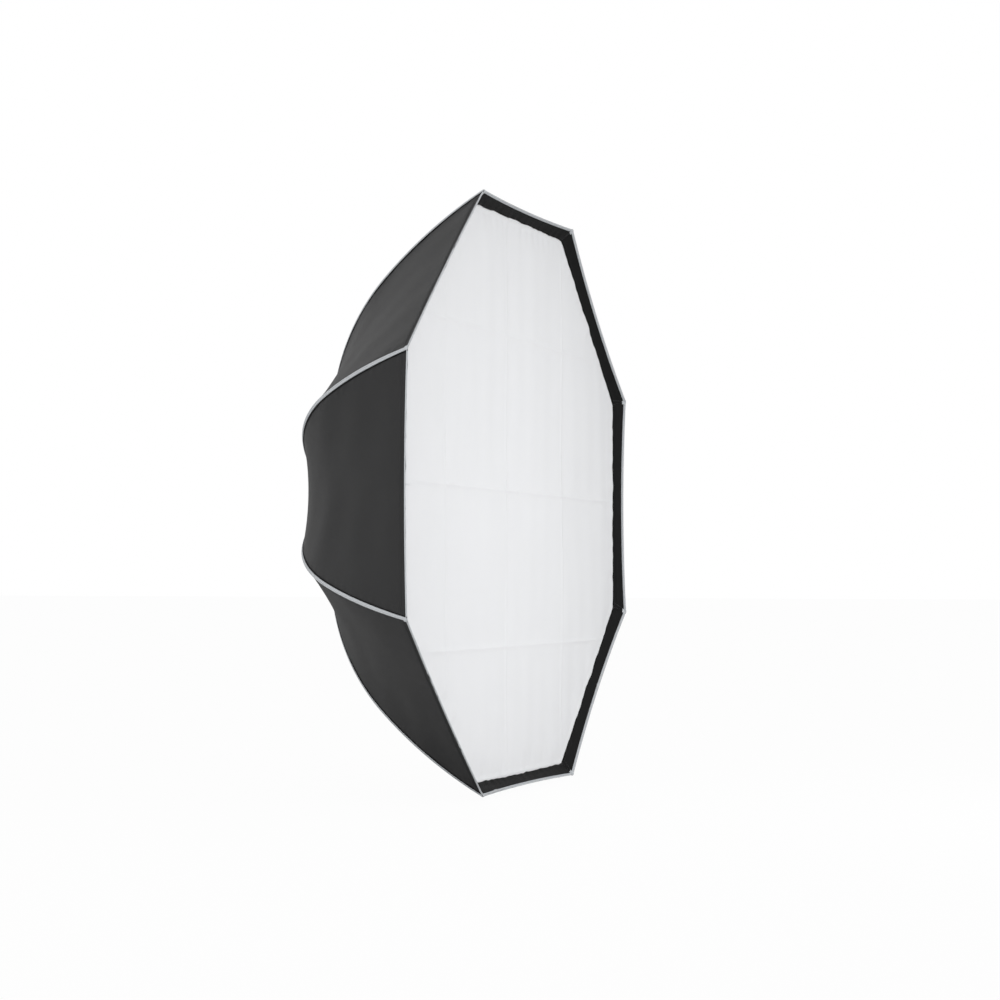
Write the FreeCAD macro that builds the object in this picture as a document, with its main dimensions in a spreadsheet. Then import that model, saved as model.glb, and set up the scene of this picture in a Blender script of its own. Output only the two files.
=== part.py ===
"""Octabox on a quick-folding umbrella frame, with a three-lug bayonet speedring.

The lamp axis is +Y, from the front opening to the lamp.  The origin is the centre of the
bayonet's seat face, +Z is up, and every piece is modelled with the frame open.
A piece that belongs to one rib is drawn with that rib along +X and then turned about Y.
"""
import FreeCAD, Part
import os
import Sketcher
from FreeCAD import Placement, Rotation, Vector

SIZES = {
    # Canopy: the outer seam line along a rib is two arcs and a straight root.
    "corner_radius": 750,
    "rib_count": 8,
    "half_gore": 22.5,
    "rim_heading": 26.39,
    "front_arc_radius": 1363.5,
    "front_arc_sweep": 14.73,
    "rear_arc_radius": 644.5,
    "root_heading": 79,
    "fabric_thick": 0.8,
    "seam_gap": 0.3,
    "canopy_root_radius": 112,
    "lip_width": 38.2,
    "lip_heading": 47.1,
    "lip_start": 8,
    "lip_thick": 1,
    # Front diffuser and inner baffle, each an octagon of thin cloth.
    "diffuser_depth": 27.5,
    "diffuser_corner": 718,
    "diffuser_tab_inner": 698,
    "diffuser_tab_outer": 717,
    "baffle_depth": 200,
    "baffle_corner": 560,
    "strap_inner": 561,
    "strap_outer": 613,
    "cloth_thick": 0.8,
    "tab_half_width": 9,
    "tab_thick": 1.5,
    "tab_gap": 0.5,
    # Ribs and struts.
    "hinge_radius": 88,
    "hinge_setback": 40,
    "rib_inset": 6,
    "rod_radius": 2.5,
    "rod_start": 18,
    "rim_to_tip": 38,
    "cap_radius": 3.5,
    "cap_length": 16,
    "cap_overhang": 5,
    "eye_radius": 6,
    "eye_half": 3,
    "socket_length": 44,
    "socket_half": 4.5,
    "hinge_pin_radius": 2,
    "hinge_pin_half": 8,
    "running_gap": 0.05,
    "strut_length": 90,
    "strut_heading": 73,
    "strut_half_width": 4.5,
    "strut_half_thick": 2,
    "strut_slot_half": 1.5,
    "strut_pin_radius": 1.5,
    "clip_radius": 4,
    "clip_half_length": 7,
    "cheek_inner": 2.5,
    "cheek_outer": 5.2,
    # Runner, its guide rods and the front stop.
    "runner_inner": 60,
    "runner_outer": 80,
    "runner_chamfer": 2,
    "runner_rear_margin": 8,
    "runner_front_margin": 22,
    "lug_outer": 94,
    "lug_slot_travel": 14,
    "guide_circle": 68,
    "guide_radius": 3,
    "guide_bore": 3.05,
    "guide_front": 234,
    "guide_rear": 16,
    "stop_inner": 59,
    "stop_outer": 77,
    "stop_thick": 7,
    "arm_inner": 66,
    "arm_outer": 70,
    "arm_half": 4,
    "arm_rear": 11,
    "arm_clearance": 1,
    "barb_inner": 64,
    "barb_length": 3,
    # Hub: bayonet ring, housing, hinge ring and the elastic collar.
    "bore_radius": 49,
    "seat_inner": 61,
    "seat_outer": 72,
    "seat_recess": 1,
    "flange_thick": 8,
    "collar_tube_radius": 54,
    "tube_height": 11,
    "lug_count": 3,
    "lug_radius": 60,
    "lug_thick": 5,
    "lug_angle": 40,
    "housing_inner": 50,
    "housing_outer": 108,
    "housing_front": 26,
    "housing_chamfer": 2.5,
    "groove_step": 15,
    "groove_circle": 109.8,
    "hinge_ring_inner": 78,
    "hinge_ring_outer": 99,
    "hinge_ring_front": 50,
    "hinge_slot_inner": 80,
    "hinge_slot_half": 3.5,
    "hinge_slot_rear": 31,
    "sleeve_inner": 101,
    "sleeve_outer": 110,
    "sleeve_front": 36,
    "sleeve_rear": 26.5,
    "sleeve_chamfer": 3,
    # Release buttons.
    "button_depth": 17,
    "button_radius": 6.9,
    "button_outer": 114,
    "button_fillet": 1.5,
    "button_under": 96,
    "pocket_radius": 7,
    "pocket_floor": 84,
    "stem_radius": 2,
    "plate_inner": 56,
    "plate_half": 6.5,
    "plate_half_thick": 2,
    "window_inner": 63.7,
    "window_outer": 75,
    "window_half": 4.6,
    "channel_inner": 51,
    "arm_window_inner": 62,
    "arm_window_outer": 72.5,
    "spring_radius": 4.9,
    "spring_wire": 0.52,
    "spring_seat": 0.75,
    "spring_pitch": 2.6,
    # Countersunk screws, M3 x 12.
    "screw_radius": 1.5,
    "screw_length": 12,
    "head_radius": 3,
    "head_depth": 1.7,
    "head_sunk": 0.2,
    "drive_radius": 1.1,
    "drive_depth": 1.2,
    "bayonet_screw_circle": 66.5,
    "hinge_screw_circle": 91,
    # Sliding gap, how far a cutter passes its faces, and how far joined pieces share space.
    "slot_gap": 0.1,
    "overrun": 1,
    "shared": 2,
}

doc = FreeCAD.newDocument("octabox")
sheet = doc.addObject("Spreadsheet::Sheet", "Sizes")
for row, (alias, number) in enumerate(SIZES.items(), start=1):
    sheet.set(f"A{row}", alias)
    sheet.set(f"B{row}", str(number))
    sheet.setAlias(f"B{row}", alias)
doc.recompute()

# Places that follow from the driving sizes.  Depth runs from the rim towards the lamp.
DERIVED = {
    "front_centre": "Sizes.corner_radius - Sizes.front_arc_radius * cos(Sizes.rim_heading)",
    "front_centre_depth": "-Sizes.front_arc_radius * sin(Sizes.rim_heading)",
    "joint_heading": "Sizes.rim_heading + Sizes.front_arc_sweep",
    "rear_centre": "Derived.front_centre"
    " + (Sizes.front_arc_radius - Sizes.rear_arc_radius) * cos(Derived.joint_heading)",
    "rear_centre_depth": "Derived.front_centre_depth"
    " + (Sizes.front_arc_radius - Sizes.rear_arc_radius) * sin(Derived.joint_heading)",
    "rod_rear_radius": "Sizes.rear_arc_radius - Sizes.rib_inset",
    "rod_front_radius": "Sizes.front_arc_radius - Sizes.rib_inset",
    "root_end": "Derived.rear_centre + Derived.rod_rear_radius * cos(Sizes.root_heading)",
    "hinge_depth": "Derived.rear_centre_depth + Derived.rod_rear_radius * sin(Sizes.root_heading)"
    " + (Derived.root_end - Sizes.hinge_radius) / tan(Sizes.root_heading)",
    "rim": "-(Derived.hinge_depth + Sizes.hinge_setback)",
    "tip_heading": "Sizes.rim_heading"
    " + 180 / pi * Sizes.rim_to_tip / Sizes.front_arc_radius",
    "runner_pin": "-Sizes.hinge_setback - 2 * Sizes.strut_length * cos(Sizes.strut_heading)",
    "clip_along": "Sizes.strut_length * cos(Sizes.strut_heading - Sizes.root_heading)",
    "clip_below": "Sizes.strut_length * sin(Sizes.root_heading - Sizes.strut_heading)",
    "runner_rear": "Derived.runner_pin + Sizes.runner_rear_margin",
    "runner_front": "Derived.runner_pin - Sizes.runner_front_margin",
}
derived = doc.addObject("App::VarSet", "Derived")
for name, formula in DERIVED.items():
    derived.addProperty("App::PropertyFloat", name)
    derived.setExpression(name, formula)
    doc.recompute()


def number(expression):
    """Value of an expression in millimetres or degrees."""
    return float(sheet.evalExpression(str(expression)))


def around(azimuth, place=Placement()):
    """A placement in the plane of azimuth zero, turned about the lamp axis."""
    return Placement(Vector(), Rotation(Vector(0, 1, 0), -azimuth)).multiply(place)


def at(x="0", y="0", z="0", turn=Rotation()):
    """A placement from three expressions and a rotation."""
    return Placement(Vector(number(x), number(y), number(z)), turn)


AXIAL = Rotation(Vector(1, 0, 0), -90)
FORWARD = Rotation(Vector(1, 0, 0), 90)
OUTWARD = Rotation(Vector(0, 1, 0), 90)
RIB_COUNT = int(number("Sizes.rib_count"))
HALF_GORE = number("Sizes.half_gore")
RIB_AZIMUTHS = [HALF_GORE * (2 * i + 1) for i in range(RIB_COUNT)]
GUIDE_AZIMUTHS = [45, 135, 225, 315]
LATCH_AZIMUTHS = [0, 180]
SUBPARTS = {}


def solid(kind, name, place, **sizes):
    """A Part primitive whose sizes are expressions."""
    item = doc.addObject("Part::" + kind, name)
    for key, expression in sizes.items():
        item.setExpression(key, expression)
    item.Placement = place
    return item


def block(name, azimuth, low, high):
    """A box between two corners given as expressions, in the plane of an azimuth."""
    return solid(
        "Box",
        name,
        around(azimuth, at(*low)),
        Length=f"({high[0]}) - ({low[0]})",
        Width=f"({high[1]}) - ({low[1]})",
        Height=f"({high[2]}) - ({low[2]})",
    )


def join(name, pieces):
    """One solid from touching pieces."""
    item = doc.addObject("Part::MultiFuse", name)
    item.Shapes = pieces
    item.Refine = True
    return item


def overlap(name, pieces):
    """The space that every piece shares."""
    item = doc.addObject("Part::MultiCommon", name)
    item.Shapes = pieces
    return item


def group(name, pieces):
    """Separate solids under one name."""
    item = doc.addObject("Part::Compound", name)
    item.Links = pieces
    return item


def cut(name, base, tools):
    """The base less every tool."""
    item = doc.addObject("Part::Cut", name)
    item.Base = base
    item.Tool = tools[0] if len(tools) == 1 else group(name + "_cutters", tools)
    return item


def subpart(label, pieces, azimuth=0):
    """A finished sub-part: its pieces, turned about the lamp axis, and its file's name."""
    item = group(label, pieces)
    item.Label = label
    item.Placement = around(azimuth)
    SUBPARTS[label] = item


def bind_point(sketch, index, end, pair):
    """Hold one end of a sketch edge at two expressions."""
    for kind, axis, expression in (("DistanceX", -2, pair[0]), ("DistanceY", -1, pair[1])):
        size = number(expression)
        if abs(size) < 1e-9:
            sketch.addConstraint(Sketcher.Constraint("PointOnObject", index, end, axis))
        else:
            place = sketch.addConstraint(Sketcher.Constraint(kind, index, end, size))
            sketch.setExpression(f"Constraints[{place}]", expression)


def bind_radius(sketch, index, expression):
    """Hold the radius of a sketch arc or circle at an expression."""
    place = sketch.addConstraint(Sketcher.Constraint("Radius", index, number(expression)))
    sketch.setExpression(f"Constraints[{place}]", expression)


def vector(pair):
    """A point in the sketch plane from two expressions."""
    return Vector(number(pair[0]), number(pair[1]), 0)


def draw(sketch, start, edges, closed):
    """Draw a chain of edges from start.

    An edge is its end point for a line, or (end point, centre, radius, turn) for an arc,
    where turn is 1 anticlockwise and -1 clockwise.
    """
    here = start
    for index, edge in enumerate(edges):
        first, last = 1, 2
        if len(edge) == 2:
            end = edge
            shape = Part.LineSegment(vector(here), vector(end))
        else:
            end, centre, radius, turn = edge
            ends = (here, end) if turn > 0 else (end, here)
            circle = Part.Circle(vector(centre), Vector(0, 0, 1), number(radius))
            shape = Part.ArcOfCircle(circle, *(circle.parameter(vector(p)) for p in ends))
            if turn < 0:
                first, last = 2, 1
        sketch.addGeometry(shape, False)
        if index == 0:
            opening = first
        else:
            sketch.addConstraint(Sketcher.Constraint("Coincident", index - 1, joint, index, first))
        bind_point(sketch, index, first, here)
        if len(edge) > 2:
            bind_radius(sketch, index, radius)
        joint = last
        here = end
    if closed:
        sketch.addConstraint(Sketcher.Constraint("Coincident", index, joint, 0, opening))
    else:
        bind_point(sketch, index, joint, here)


def section(body, name, start, edges, closed=True):
    """A sketch on the body's own XY plane: X is the radius and Y runs along the lamp axis."""
    sketch = body.newObject("Sketcher::SketchObject", name)
    plane = [p for p in body.Origin.OriginFeatures if p.Role == "XY_Plane"][0]
    sketch.AttachmentSupport = [(plane, "")]
    sketch.MapMode = "FlatFace"
    draw(sketch, start, edges, closed)
    return sketch


def ring(name, corners):
    """A ring turned about the lamp axis from a section's corners."""
    body = doc.addObject("PartDesign::Body", name)
    outline = section(body, name + "_section", corners[0], corners[1:] + corners[:1])
    turning = body.newObject("PartDesign::Revolution", name + "_turning")
    turning.Profile = outline
    turning.ReferenceAxis = (outline, ["V_Axis"])
    turning.Angle = 360
    outline.Visibility = False
    return body


def tube_cut(name, azimuth, place, radius, height):
    """A round cutter or pin in the plane of an azimuth."""
    return solid("Cylinder", name, around(azimuth, place), Radius=radius, Height=height)


def screw_shape(name, azimuth, place):
    """A solid countersunk screw whose head faces along local Z."""
    head_place = place.multiply(at(z="-Sizes.head_depth"))
    shank_place = place.multiply(at(z="-Sizes.screw_length"))
    head = solid("Cone", name + "_head", around(azimuth, head_place), Radius1="Sizes.screw_radius",
                 Radius2="Sizes.head_radius", Height="Sizes.head_depth")
    shank = solid("Cylinder", name + "_shank", around(azimuth, shank_place),
                  Radius="Sizes.screw_radius", Height="Sizes.screw_length - Sizes.head_depth")
    return join(name, [head, shank])


def screw_places():
    """Azimuth and place of every screw, sunk just below its face."""
    bayonet = at("Sizes.bayonet_screw_circle", "-Sizes.head_sunk", turn=AXIAL)
    hinge = at("Sizes.hinge_screw_circle", "Sizes.head_sunk - Sizes.hinge_slot_rear", turn=FORWARD)
    stop = at("Sizes.guide_circle", "Sizes.head_sunk - Sizes.guide_front - Sizes.stop_thick",
              turn=FORWARD)
    return {
        "bayonet_screw": [(azimuth, bayonet) for azimuth in RIB_AZIMUTHS[::2]],
        "hinge_screw": [(azimuth, hinge) for azimuth in RIB_AZIMUTHS],
        "stop_screw": [(azimuth, stop) for azimuth in GUIDE_AZIMUTHS],
    }


def screws():
    """Make the screws and return their blanks, which also cut their holes."""
    blanks = {}
    finished = []
    for kind, places in screw_places().items():
        blanks[kind] = []
        for index, (azimuth, place) in enumerate(places, start=1):
            name = f"{kind}_{index}"
            blank = screw_shape(name + "_blank", azimuth, place)
            mouth = solid("Cylinder", name + "_mouth", around(azimuth, place),
                          Radius="Sizes.head_radius", Height="Sizes.head_radius")
            socket_place = place.multiply(at(z="-Sizes.drive_depth"))
            socket = solid("Prism", name + "_socket", around(azimuth, socket_place),
                           Circumradius="Sizes.drive_radius", Height="Sizes.head_radius")
            blanks[kind] += [blank, mouth]
            finished.append(cut(name, blank, [socket]))
    subpart("ring_screws", finished)
    return blanks


def bayonet_ring(blanks):
    """Seat flange, collar tube and three lugs that lock into the lamp."""
    turned = ring("bayonet_turned", [
        ("Sizes.bore_radius", "-Sizes.flange_thick"),
        ("Sizes.seat_outer", "-Sizes.flange_thick"),
        ("Sizes.seat_outer", "0"),
        ("Sizes.seat_inner", "0"),
        ("Sizes.seat_inner", "-Sizes.seat_recess"),
        ("Sizes.collar_tube_radius", "-Sizes.seat_recess"),
        ("Sizes.collar_tube_radius", "Sizes.tube_height"),
        ("Sizes.bore_radius", "Sizes.tube_height"),
    ])
    pieces = [turned]
    place = at(y="Sizes.tube_height - Sizes.lug_thick", turn=AXIAL)
    for index in range(int(number("Sizes.lug_count"))):
        turn = number(f"90 + {index} * 360 / Sizes.lug_count + Sizes.lug_angle / 2")
        wedge = solid("Cylinder", f"lug_{index}_wedge", around(turn, place),
                      Radius="Sizes.lug_radius", Height="Sizes.lug_thick", Angle="Sizes.lug_angle")
        core = solid("Cylinder", f"lug_{index}_core", place,
                     Radius="Sizes.collar_tube_radius - Sizes.overrun", Height="Sizes.lug_thick")
        pieces.append(cut(f"lug_{index}", wedge, [core]))
    subpart("bayonet_ring", [cut("bayonet_drilled", join("bayonet_joined", pieces),
                                 blanks["bayonet_screw"])])


def speedring_housing(blanks):
    """Casing behind the canopy, with the button pockets and latch windows."""
    turned = ring("housing_turned", [
        ("Sizes.housing_inner", "-Sizes.housing_front"),
        ("Sizes.housing_outer - Sizes.housing_chamfer", "-Sizes.housing_front"),
        ("Sizes.housing_outer", "-Sizes.housing_front + Sizes.housing_chamfer"),
        ("Sizes.housing_outer", "-Sizes.flange_thick - Sizes.housing_chamfer"),
        ("Sizes.housing_outer - Sizes.housing_chamfer", "-Sizes.flange_thick"),
        ("Sizes.housing_inner", "-Sizes.flange_thick"),
    ])
    tools = list(blanks["bayonet_screw"] + blanks["hinge_screw"])
    depth = "-Sizes.button_depth"
    gap = "Sizes.slot_gap"
    for azimuth in LATCH_AZIMUTHS:
        tools.append(block(
            f"channel_{azimuth}", azimuth,
            ("Sizes.channel_inner", f"{depth} - Sizes.plate_half_thick - {gap}",
             f"-Sizes.plate_half - {gap}"),
            ("Sizes.pocket_floor + Sizes.overrun", f"{depth} + Sizes.plate_half_thick + {gap}",
             f"Sizes.plate_half + {gap}")))
        tools.append(tube_cut(f"pocket_{azimuth}", azimuth,
                              at("Sizes.pocket_floor", depth, turn=OUTWARD),
                              "Sizes.pocket_radius", "Sizes.housing_outer"))
        tools.append(block(
            f"arm_window_{azimuth}", azimuth,
            ("Sizes.arm_window_inner", "-Sizes.housing_front - Sizes.overrun",
             "-Sizes.arm_half - Sizes.arm_clearance"),
            ("Sizes.arm_window_outer", "Sizes.arm_clearance - Sizes.arm_rear",
             "Sizes.arm_half + Sizes.arm_clearance")))
    for azimuth in GUIDE_AZIMUTHS:
        tools.append(tube_cut(f"guide_seat_{azimuth}", azimuth,
                              at("Sizes.guide_circle", "-Sizes.guide_rear", turn=FORWARD),
                              "Sizes.guide_radius", "Sizes.housing_front"))
    for azimuth in range(0, 360, int(number("Sizes.groove_step"))):
        if azimuth not in LATCH_AZIMUTHS:
            tools.append(tube_cut(f"grip_groove_{azimuth}", azimuth,
                                  at("Sizes.groove_circle", "-Sizes.housing_front - Sizes.overrun",
                                     turn=AXIAL),
                                  "Sizes.guide_radius", "Sizes.housing_front"))
    subpart("speedring_housing", [cut("housing_machined", turned, tools)])


def rib_hinge_ring(blanks):
    """Slotted ring that carries the ribs, and the pins through its cheeks."""
    turned = ring("hinge_ring_turned", [
        ("Sizes.hinge_ring_inner", "-Sizes.hinge_ring_front"),
        ("Sizes.hinge_ring_outer", "-Sizes.hinge_ring_front"),
        ("Sizes.hinge_ring_outer", "-Sizes.housing_front"),
        ("Sizes.hinge_ring_inner", "-Sizes.housing_front"),
    ])
    tools = list(blanks["hinge_screw"])
    pins = []
    for index, azimuth in enumerate(RIB_AZIMUTHS, start=1):
        tools.append(block(
            f"hinge_slot_{index}", azimuth,
            ("Sizes.hinge_slot_inner", "-Sizes.hinge_ring_front - Sizes.overrun",
             "-Sizes.hinge_slot_half"),
            ("Sizes.hinge_ring_outer + Sizes.overrun", "-Sizes.hinge_slot_rear",
             "Sizes.hinge_slot_half")))
        pin = tube_cut(f"hinge_pin_{index}", azimuth,
                       at("Sizes.hinge_radius", "-Sizes.hinge_setback", "-Sizes.hinge_pin_half"),
                       "Sizes.hinge_pin_radius", "2 * Sizes.hinge_pin_half")
        tools.append(pin)
        pins.append(pin)
    subpart("rib_hinge_ring", [cut("hinge_ring_machined", turned, tools)])
    subpart("rib_hinge_pins", pins)


def guides(blanks):
    """Four rods that guide the runner, and the ring that stops it at the front."""
    rods = []
    for azimuth in GUIDE_AZIMUTHS:
        rod = tube_cut(f"guide_blank_{azimuth}", azimuth,
                       at("Sizes.guide_circle", "-Sizes.guide_rear", turn=FORWARD),
                       "Sizes.guide_radius", "Sizes.guide_front - Sizes.guide_rear")
        rods.append(cut(f"guide_rod_{azimuth}", rod, blanks["stop_screw"]))
    subpart("guide_rods", rods)
    front = "-Sizes.guide_front - Sizes.stop_thick"
    turned = ring("stop_turned", [
        ("Sizes.stop_inner", front),
        ("Sizes.stop_outer", front),
        ("Sizes.stop_outer", "-Sizes.guide_front"),
        ("Sizes.stop_inner", "-Sizes.guide_front"),
    ])
    subpart("front_stop_ring", [cut("stop_drilled", turned, blanks["stop_screw"])])


def runner_ring():
    """Ring that slides on the guides, with slotted strut lugs and two latch arms."""
    pieces = [ring("runner_turned", [
        ("Sizes.runner_inner", "Derived.runner_front + Sizes.runner_chamfer"),
        ("Sizes.runner_inner + Sizes.runner_chamfer", "Derived.runner_front"),
        ("Sizes.runner_outer", "Derived.runner_front"),
        ("Sizes.runner_outer", "Derived.runner_rear"),
        ("Sizes.runner_inner + Sizes.runner_chamfer", "Derived.runner_rear"),
        ("Sizes.runner_inner", "Derived.runner_rear - Sizes.runner_chamfer"),
    ])]
    tools = []
    for index, azimuth in enumerate(RIB_AZIMUTHS, start=1):
        for side, low, high in (("a", "Sizes.cheek_inner", "Sizes.cheek_outer"),
                                ("b", "-Sizes.cheek_outer", "-Sizes.cheek_inner")):
            pieces.append(block(f"lug_{index}_{side}", azimuth,
                                ("Sizes.runner_outer - Sizes.shared", "Derived.runner_front", low),
                                ("Sizes.lug_outer", "Derived.runner_rear", high)))
        tools.append(block(
            f"lug_slot_{index}", azimuth,
            ("Sizes.hinge_radius - Sizes.strut_pin_radius - Sizes.slot_gap",
             "Derived.runner_pin - Sizes.lug_slot_travel - Sizes.strut_pin_radius - Sizes.slot_gap",
             "-Sizes.cheek_outer - Sizes.overrun"),
            ("Sizes.hinge_radius + Sizes.strut_pin_radius + Sizes.slot_gap",
             "Derived.runner_pin + Sizes.strut_pin_radius + Sizes.slot_gap",
             "Sizes.cheek_outer + Sizes.overrun")))
    for azimuth in LATCH_AZIMUTHS:
        pieces.append(block(f"latch_arm_{azimuth}", azimuth,
                            ("Sizes.arm_inner", "Derived.runner_rear - Sizes.shared", "-Sizes.arm_half"),
                            ("Sizes.arm_outer", "-Sizes.arm_rear", "Sizes.arm_half")))
        pieces.append(block(f"latch_barb_{azimuth}", azimuth,
                            ("Sizes.barb_inner", "-Sizes.arm_rear - Sizes.barb_length",
                             "-Sizes.arm_half"),
                            ("Sizes.arm_inner + Sizes.shared", "-Sizes.arm_rear", "Sizes.arm_half")))
    for azimuth in GUIDE_AZIMUTHS:
        tools.append(tube_cut(f"guide_bore_{azimuth}", azimuth,
                              at("Sizes.guide_circle", "Derived.runner_front - Sizes.overrun",
                                 turn=AXIAL),
                              "Sizes.guide_bore",
                              "Derived.runner_rear - Derived.runner_front + 2 * Sizes.overrun"))
    subpart("runner_ring", [cut("runner_machined", join("runner_joined", pieces), tools)])


def release_buttons():
    """Push buttons whose windowed plates catch the latch arms, and their springs."""
    depth = "-Sizes.button_depth"
    springs = []
    for index, azimuth in enumerate(LATCH_AZIMUTHS, start=1):
        head = tube_cut(f"button_head_{index}", 0, at("Sizes.button_under", depth, turn=OUTWARD),
                        "Sizes.button_radius", "Sizes.button_outer - Sizes.button_under")
        stem = tube_cut(f"button_stem_{index}", 0,
                        at("Sizes.pocket_floor - Sizes.shared", depth, turn=OUTWARD),
                        "Sizes.stem_radius",
                        "Sizes.button_under - Sizes.pocket_floor + 2 * Sizes.shared")
        plate = block(
            f"button_plate_{index}", 0,
            ("Sizes.plate_inner", f"{depth} - Sizes.plate_half_thick", "-Sizes.plate_half"),
            ("Sizes.pocket_floor", f"{depth} + Sizes.plate_half_thick", "Sizes.plate_half"))
        window = block(
            f"button_window_{index}", 0,
            ("Sizes.window_inner", f"{depth} - Sizes.plate_half_thick - Sizes.overrun",
             "-Sizes.window_half"),
            ("Sizes.window_outer", f"{depth} + Sizes.plate_half_thick + Sizes.overrun",
             "Sizes.window_half"))
        blank = join(f"button_blank_{index}", [head, stem, plate])
        rounded = doc.addObject("Part::Fillet", f"button_rounded_{index}")
        rounded.Base = blank
        doc.recompute()
        rim = number("Sizes.button_outer")
        fillet = number("Sizes.button_fillet")
        edges = [place for place, edge in enumerate(blank.Shape.Edges, start=1)
                 if abs(edge.BoundBox.XMin - rim) < 1e-6]
        rounded.Edges = [(edge, fillet, fillet) for edge in edges]
        subpart(f"release_button_{index}", [cut(f"button_cut_{index}", rounded, [window])],
                azimuth)
        springs.append(spring(index, azimuth))
    subpart("button_springs", springs)


def spring(index, azimuth):
    """A coil of eight-sided wire between a pocket's floor and its button's head."""
    coil = doc.addObject("Part::Helix", f"spring_coil_{index}")
    coil.setExpression("Radius", "Sizes.spring_radius")
    coil.setExpression("Pitch", "Sizes.spring_pitch")
    coil.setExpression("Height", "Sizes.button_under - Sizes.pocket_floor - 2 * Sizes.spring_seat")
    wire = doc.addObject("Part::RegularPolygon", f"spring_wire_{index}")
    wire.Polygon = 8
    wire.setExpression("Circumradius", "Sizes.spring_wire")
    wire.Placement = at("Sizes.spring_radius", turn=Rotation(Vector(1, 0, 0), 90))
    swept = doc.addObject("Part::Sweep", f"spring_swept_{index}")
    swept.Sections = [wire]
    swept.Spine = (coil, ["Edge1"])
    swept.Solid = True
    swept.Frenet = True
    swept.Placement = around(azimuth, at("Sizes.pocket_floor + Sizes.spring_seat",
                                         "-Sizes.button_depth", turn=OUTWARD))
    return swept


def on_arc(which, inset, heading):
    """A point on a seam arc, moved inwards, at the heading of its tangent."""
    centre = f"Derived.{which}_centre"
    radius = f"(Sizes.{which}_arc_radius - {inset})"
    return (f"{centre} + {radius} * cos({heading})",
            f"Derived.rim + {centre}_depth + {radius} * sin({heading})")


def arc_centre(which):
    """Centre of a seam arc."""
    return (f"Derived.{which}_centre", f"Derived.rim + Derived.{which}_centre_depth")


def along_root(distance):
    """A point on the rib's straight root, measured from the hinge."""
    return (f"Sizes.hinge_radius + {distance} * sin(Sizes.root_heading)",
            f"-Sizes.hinge_setback - {distance} * cos(Sizes.root_heading)")


def rib_rod():
    """Round rod along the seam line: a straight root and two arcs."""
    body = doc.addObject("PartDesign::Body", "rib_rod")
    spine = section(body, "rib_spine", along_root("Sizes.rod_start"), [
        on_arc("rear", "Sizes.rib_inset", "Sizes.root_heading"),
        (on_arc("rear", "Sizes.rib_inset", "Derived.joint_heading"), arc_centre("rear"),
         "Sizes.rear_arc_radius - Sizes.rib_inset", -1),
        (on_arc("front", "Sizes.rib_inset", "Derived.tip_heading"), arc_centre("front"),
         "Sizes.front_arc_radius - Sizes.rib_inset", -1),
    ], closed=False)
    profile = body.newObject("Sketcher::SketchObject", "rib_profile")
    profile.AttachmentSupport = [(spine, "Edge1")]
    profile.MapMode = "NormalToEdge"
    profile.addGeometry(Part.Circle(Vector(), Vector(0, 0, 1), number("Sizes.rod_radius")), False)
    profile.addConstraint(Sketcher.Constraint("Coincident", 0, 3, -1, 1))
    bind_radius(profile, 0, "Sizes.rod_radius")
    doc.recompute()
    pipe = body.newObject("PartDesign::AdditivePipe", "rib_pipe")
    pipe.Profile = profile
    pipe.Spine = (spine, ["Edge1", "Edge2", "Edge3"])
    return body


def root_frame(x="0", y="0", z="0", turn=Rotation()):
    """A place in the rib's root frame: X out along the rod and Y towards the lamp."""
    tilt = Rotation(Vector(0, 0, 1), number("Sizes.root_heading") - 90)
    origin = at("Sizes.hinge_radius", "-Sizes.hinge_setback", turn=tilt)
    return origin.multiply(at(x, y, z, turn))


def rib_socket():
    """Hinge eye and the tab that grips the rod's root."""
    eye = solid("Cylinder", "socket_eye", root_frame(z="-Sizes.eye_half"),
                Radius="Sizes.eye_radius", Height="2 * Sizes.eye_half")
    tab = solid("Box", "socket_tab", root_frame(y="-Sizes.socket_half", z="-Sizes.eye_half"),
                Length="Sizes.rod_start", Width="2 * Sizes.socket_half", Height="2 * Sizes.eye_half")
    barrel = solid("Cylinder", "socket_barrel",
                   root_frame("Sizes.rod_start - Sizes.shared", turn=OUTWARD),
                   Radius="Sizes.socket_half",
                   Height="Sizes.socket_length - Sizes.rod_start + Sizes.shared")
    pin_bore = solid("Cylinder", "socket_pin_bore", root_frame(z="-Sizes.hinge_pin_half"),
                     Radius="Sizes.hinge_pin_radius + Sizes.running_gap",
                     Height="2 * Sizes.hinge_pin_half")
    rod_bore = solid("Cylinder", "socket_rod_bore", root_frame("Sizes.rod_start", turn=OUTWARD),
                     Radius="Sizes.rod_radius", Height="Sizes.socket_length")
    return cut("rib_socket", join("socket_blank", [eye, tab, barrel]), [pin_bore, rod_bore])


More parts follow.
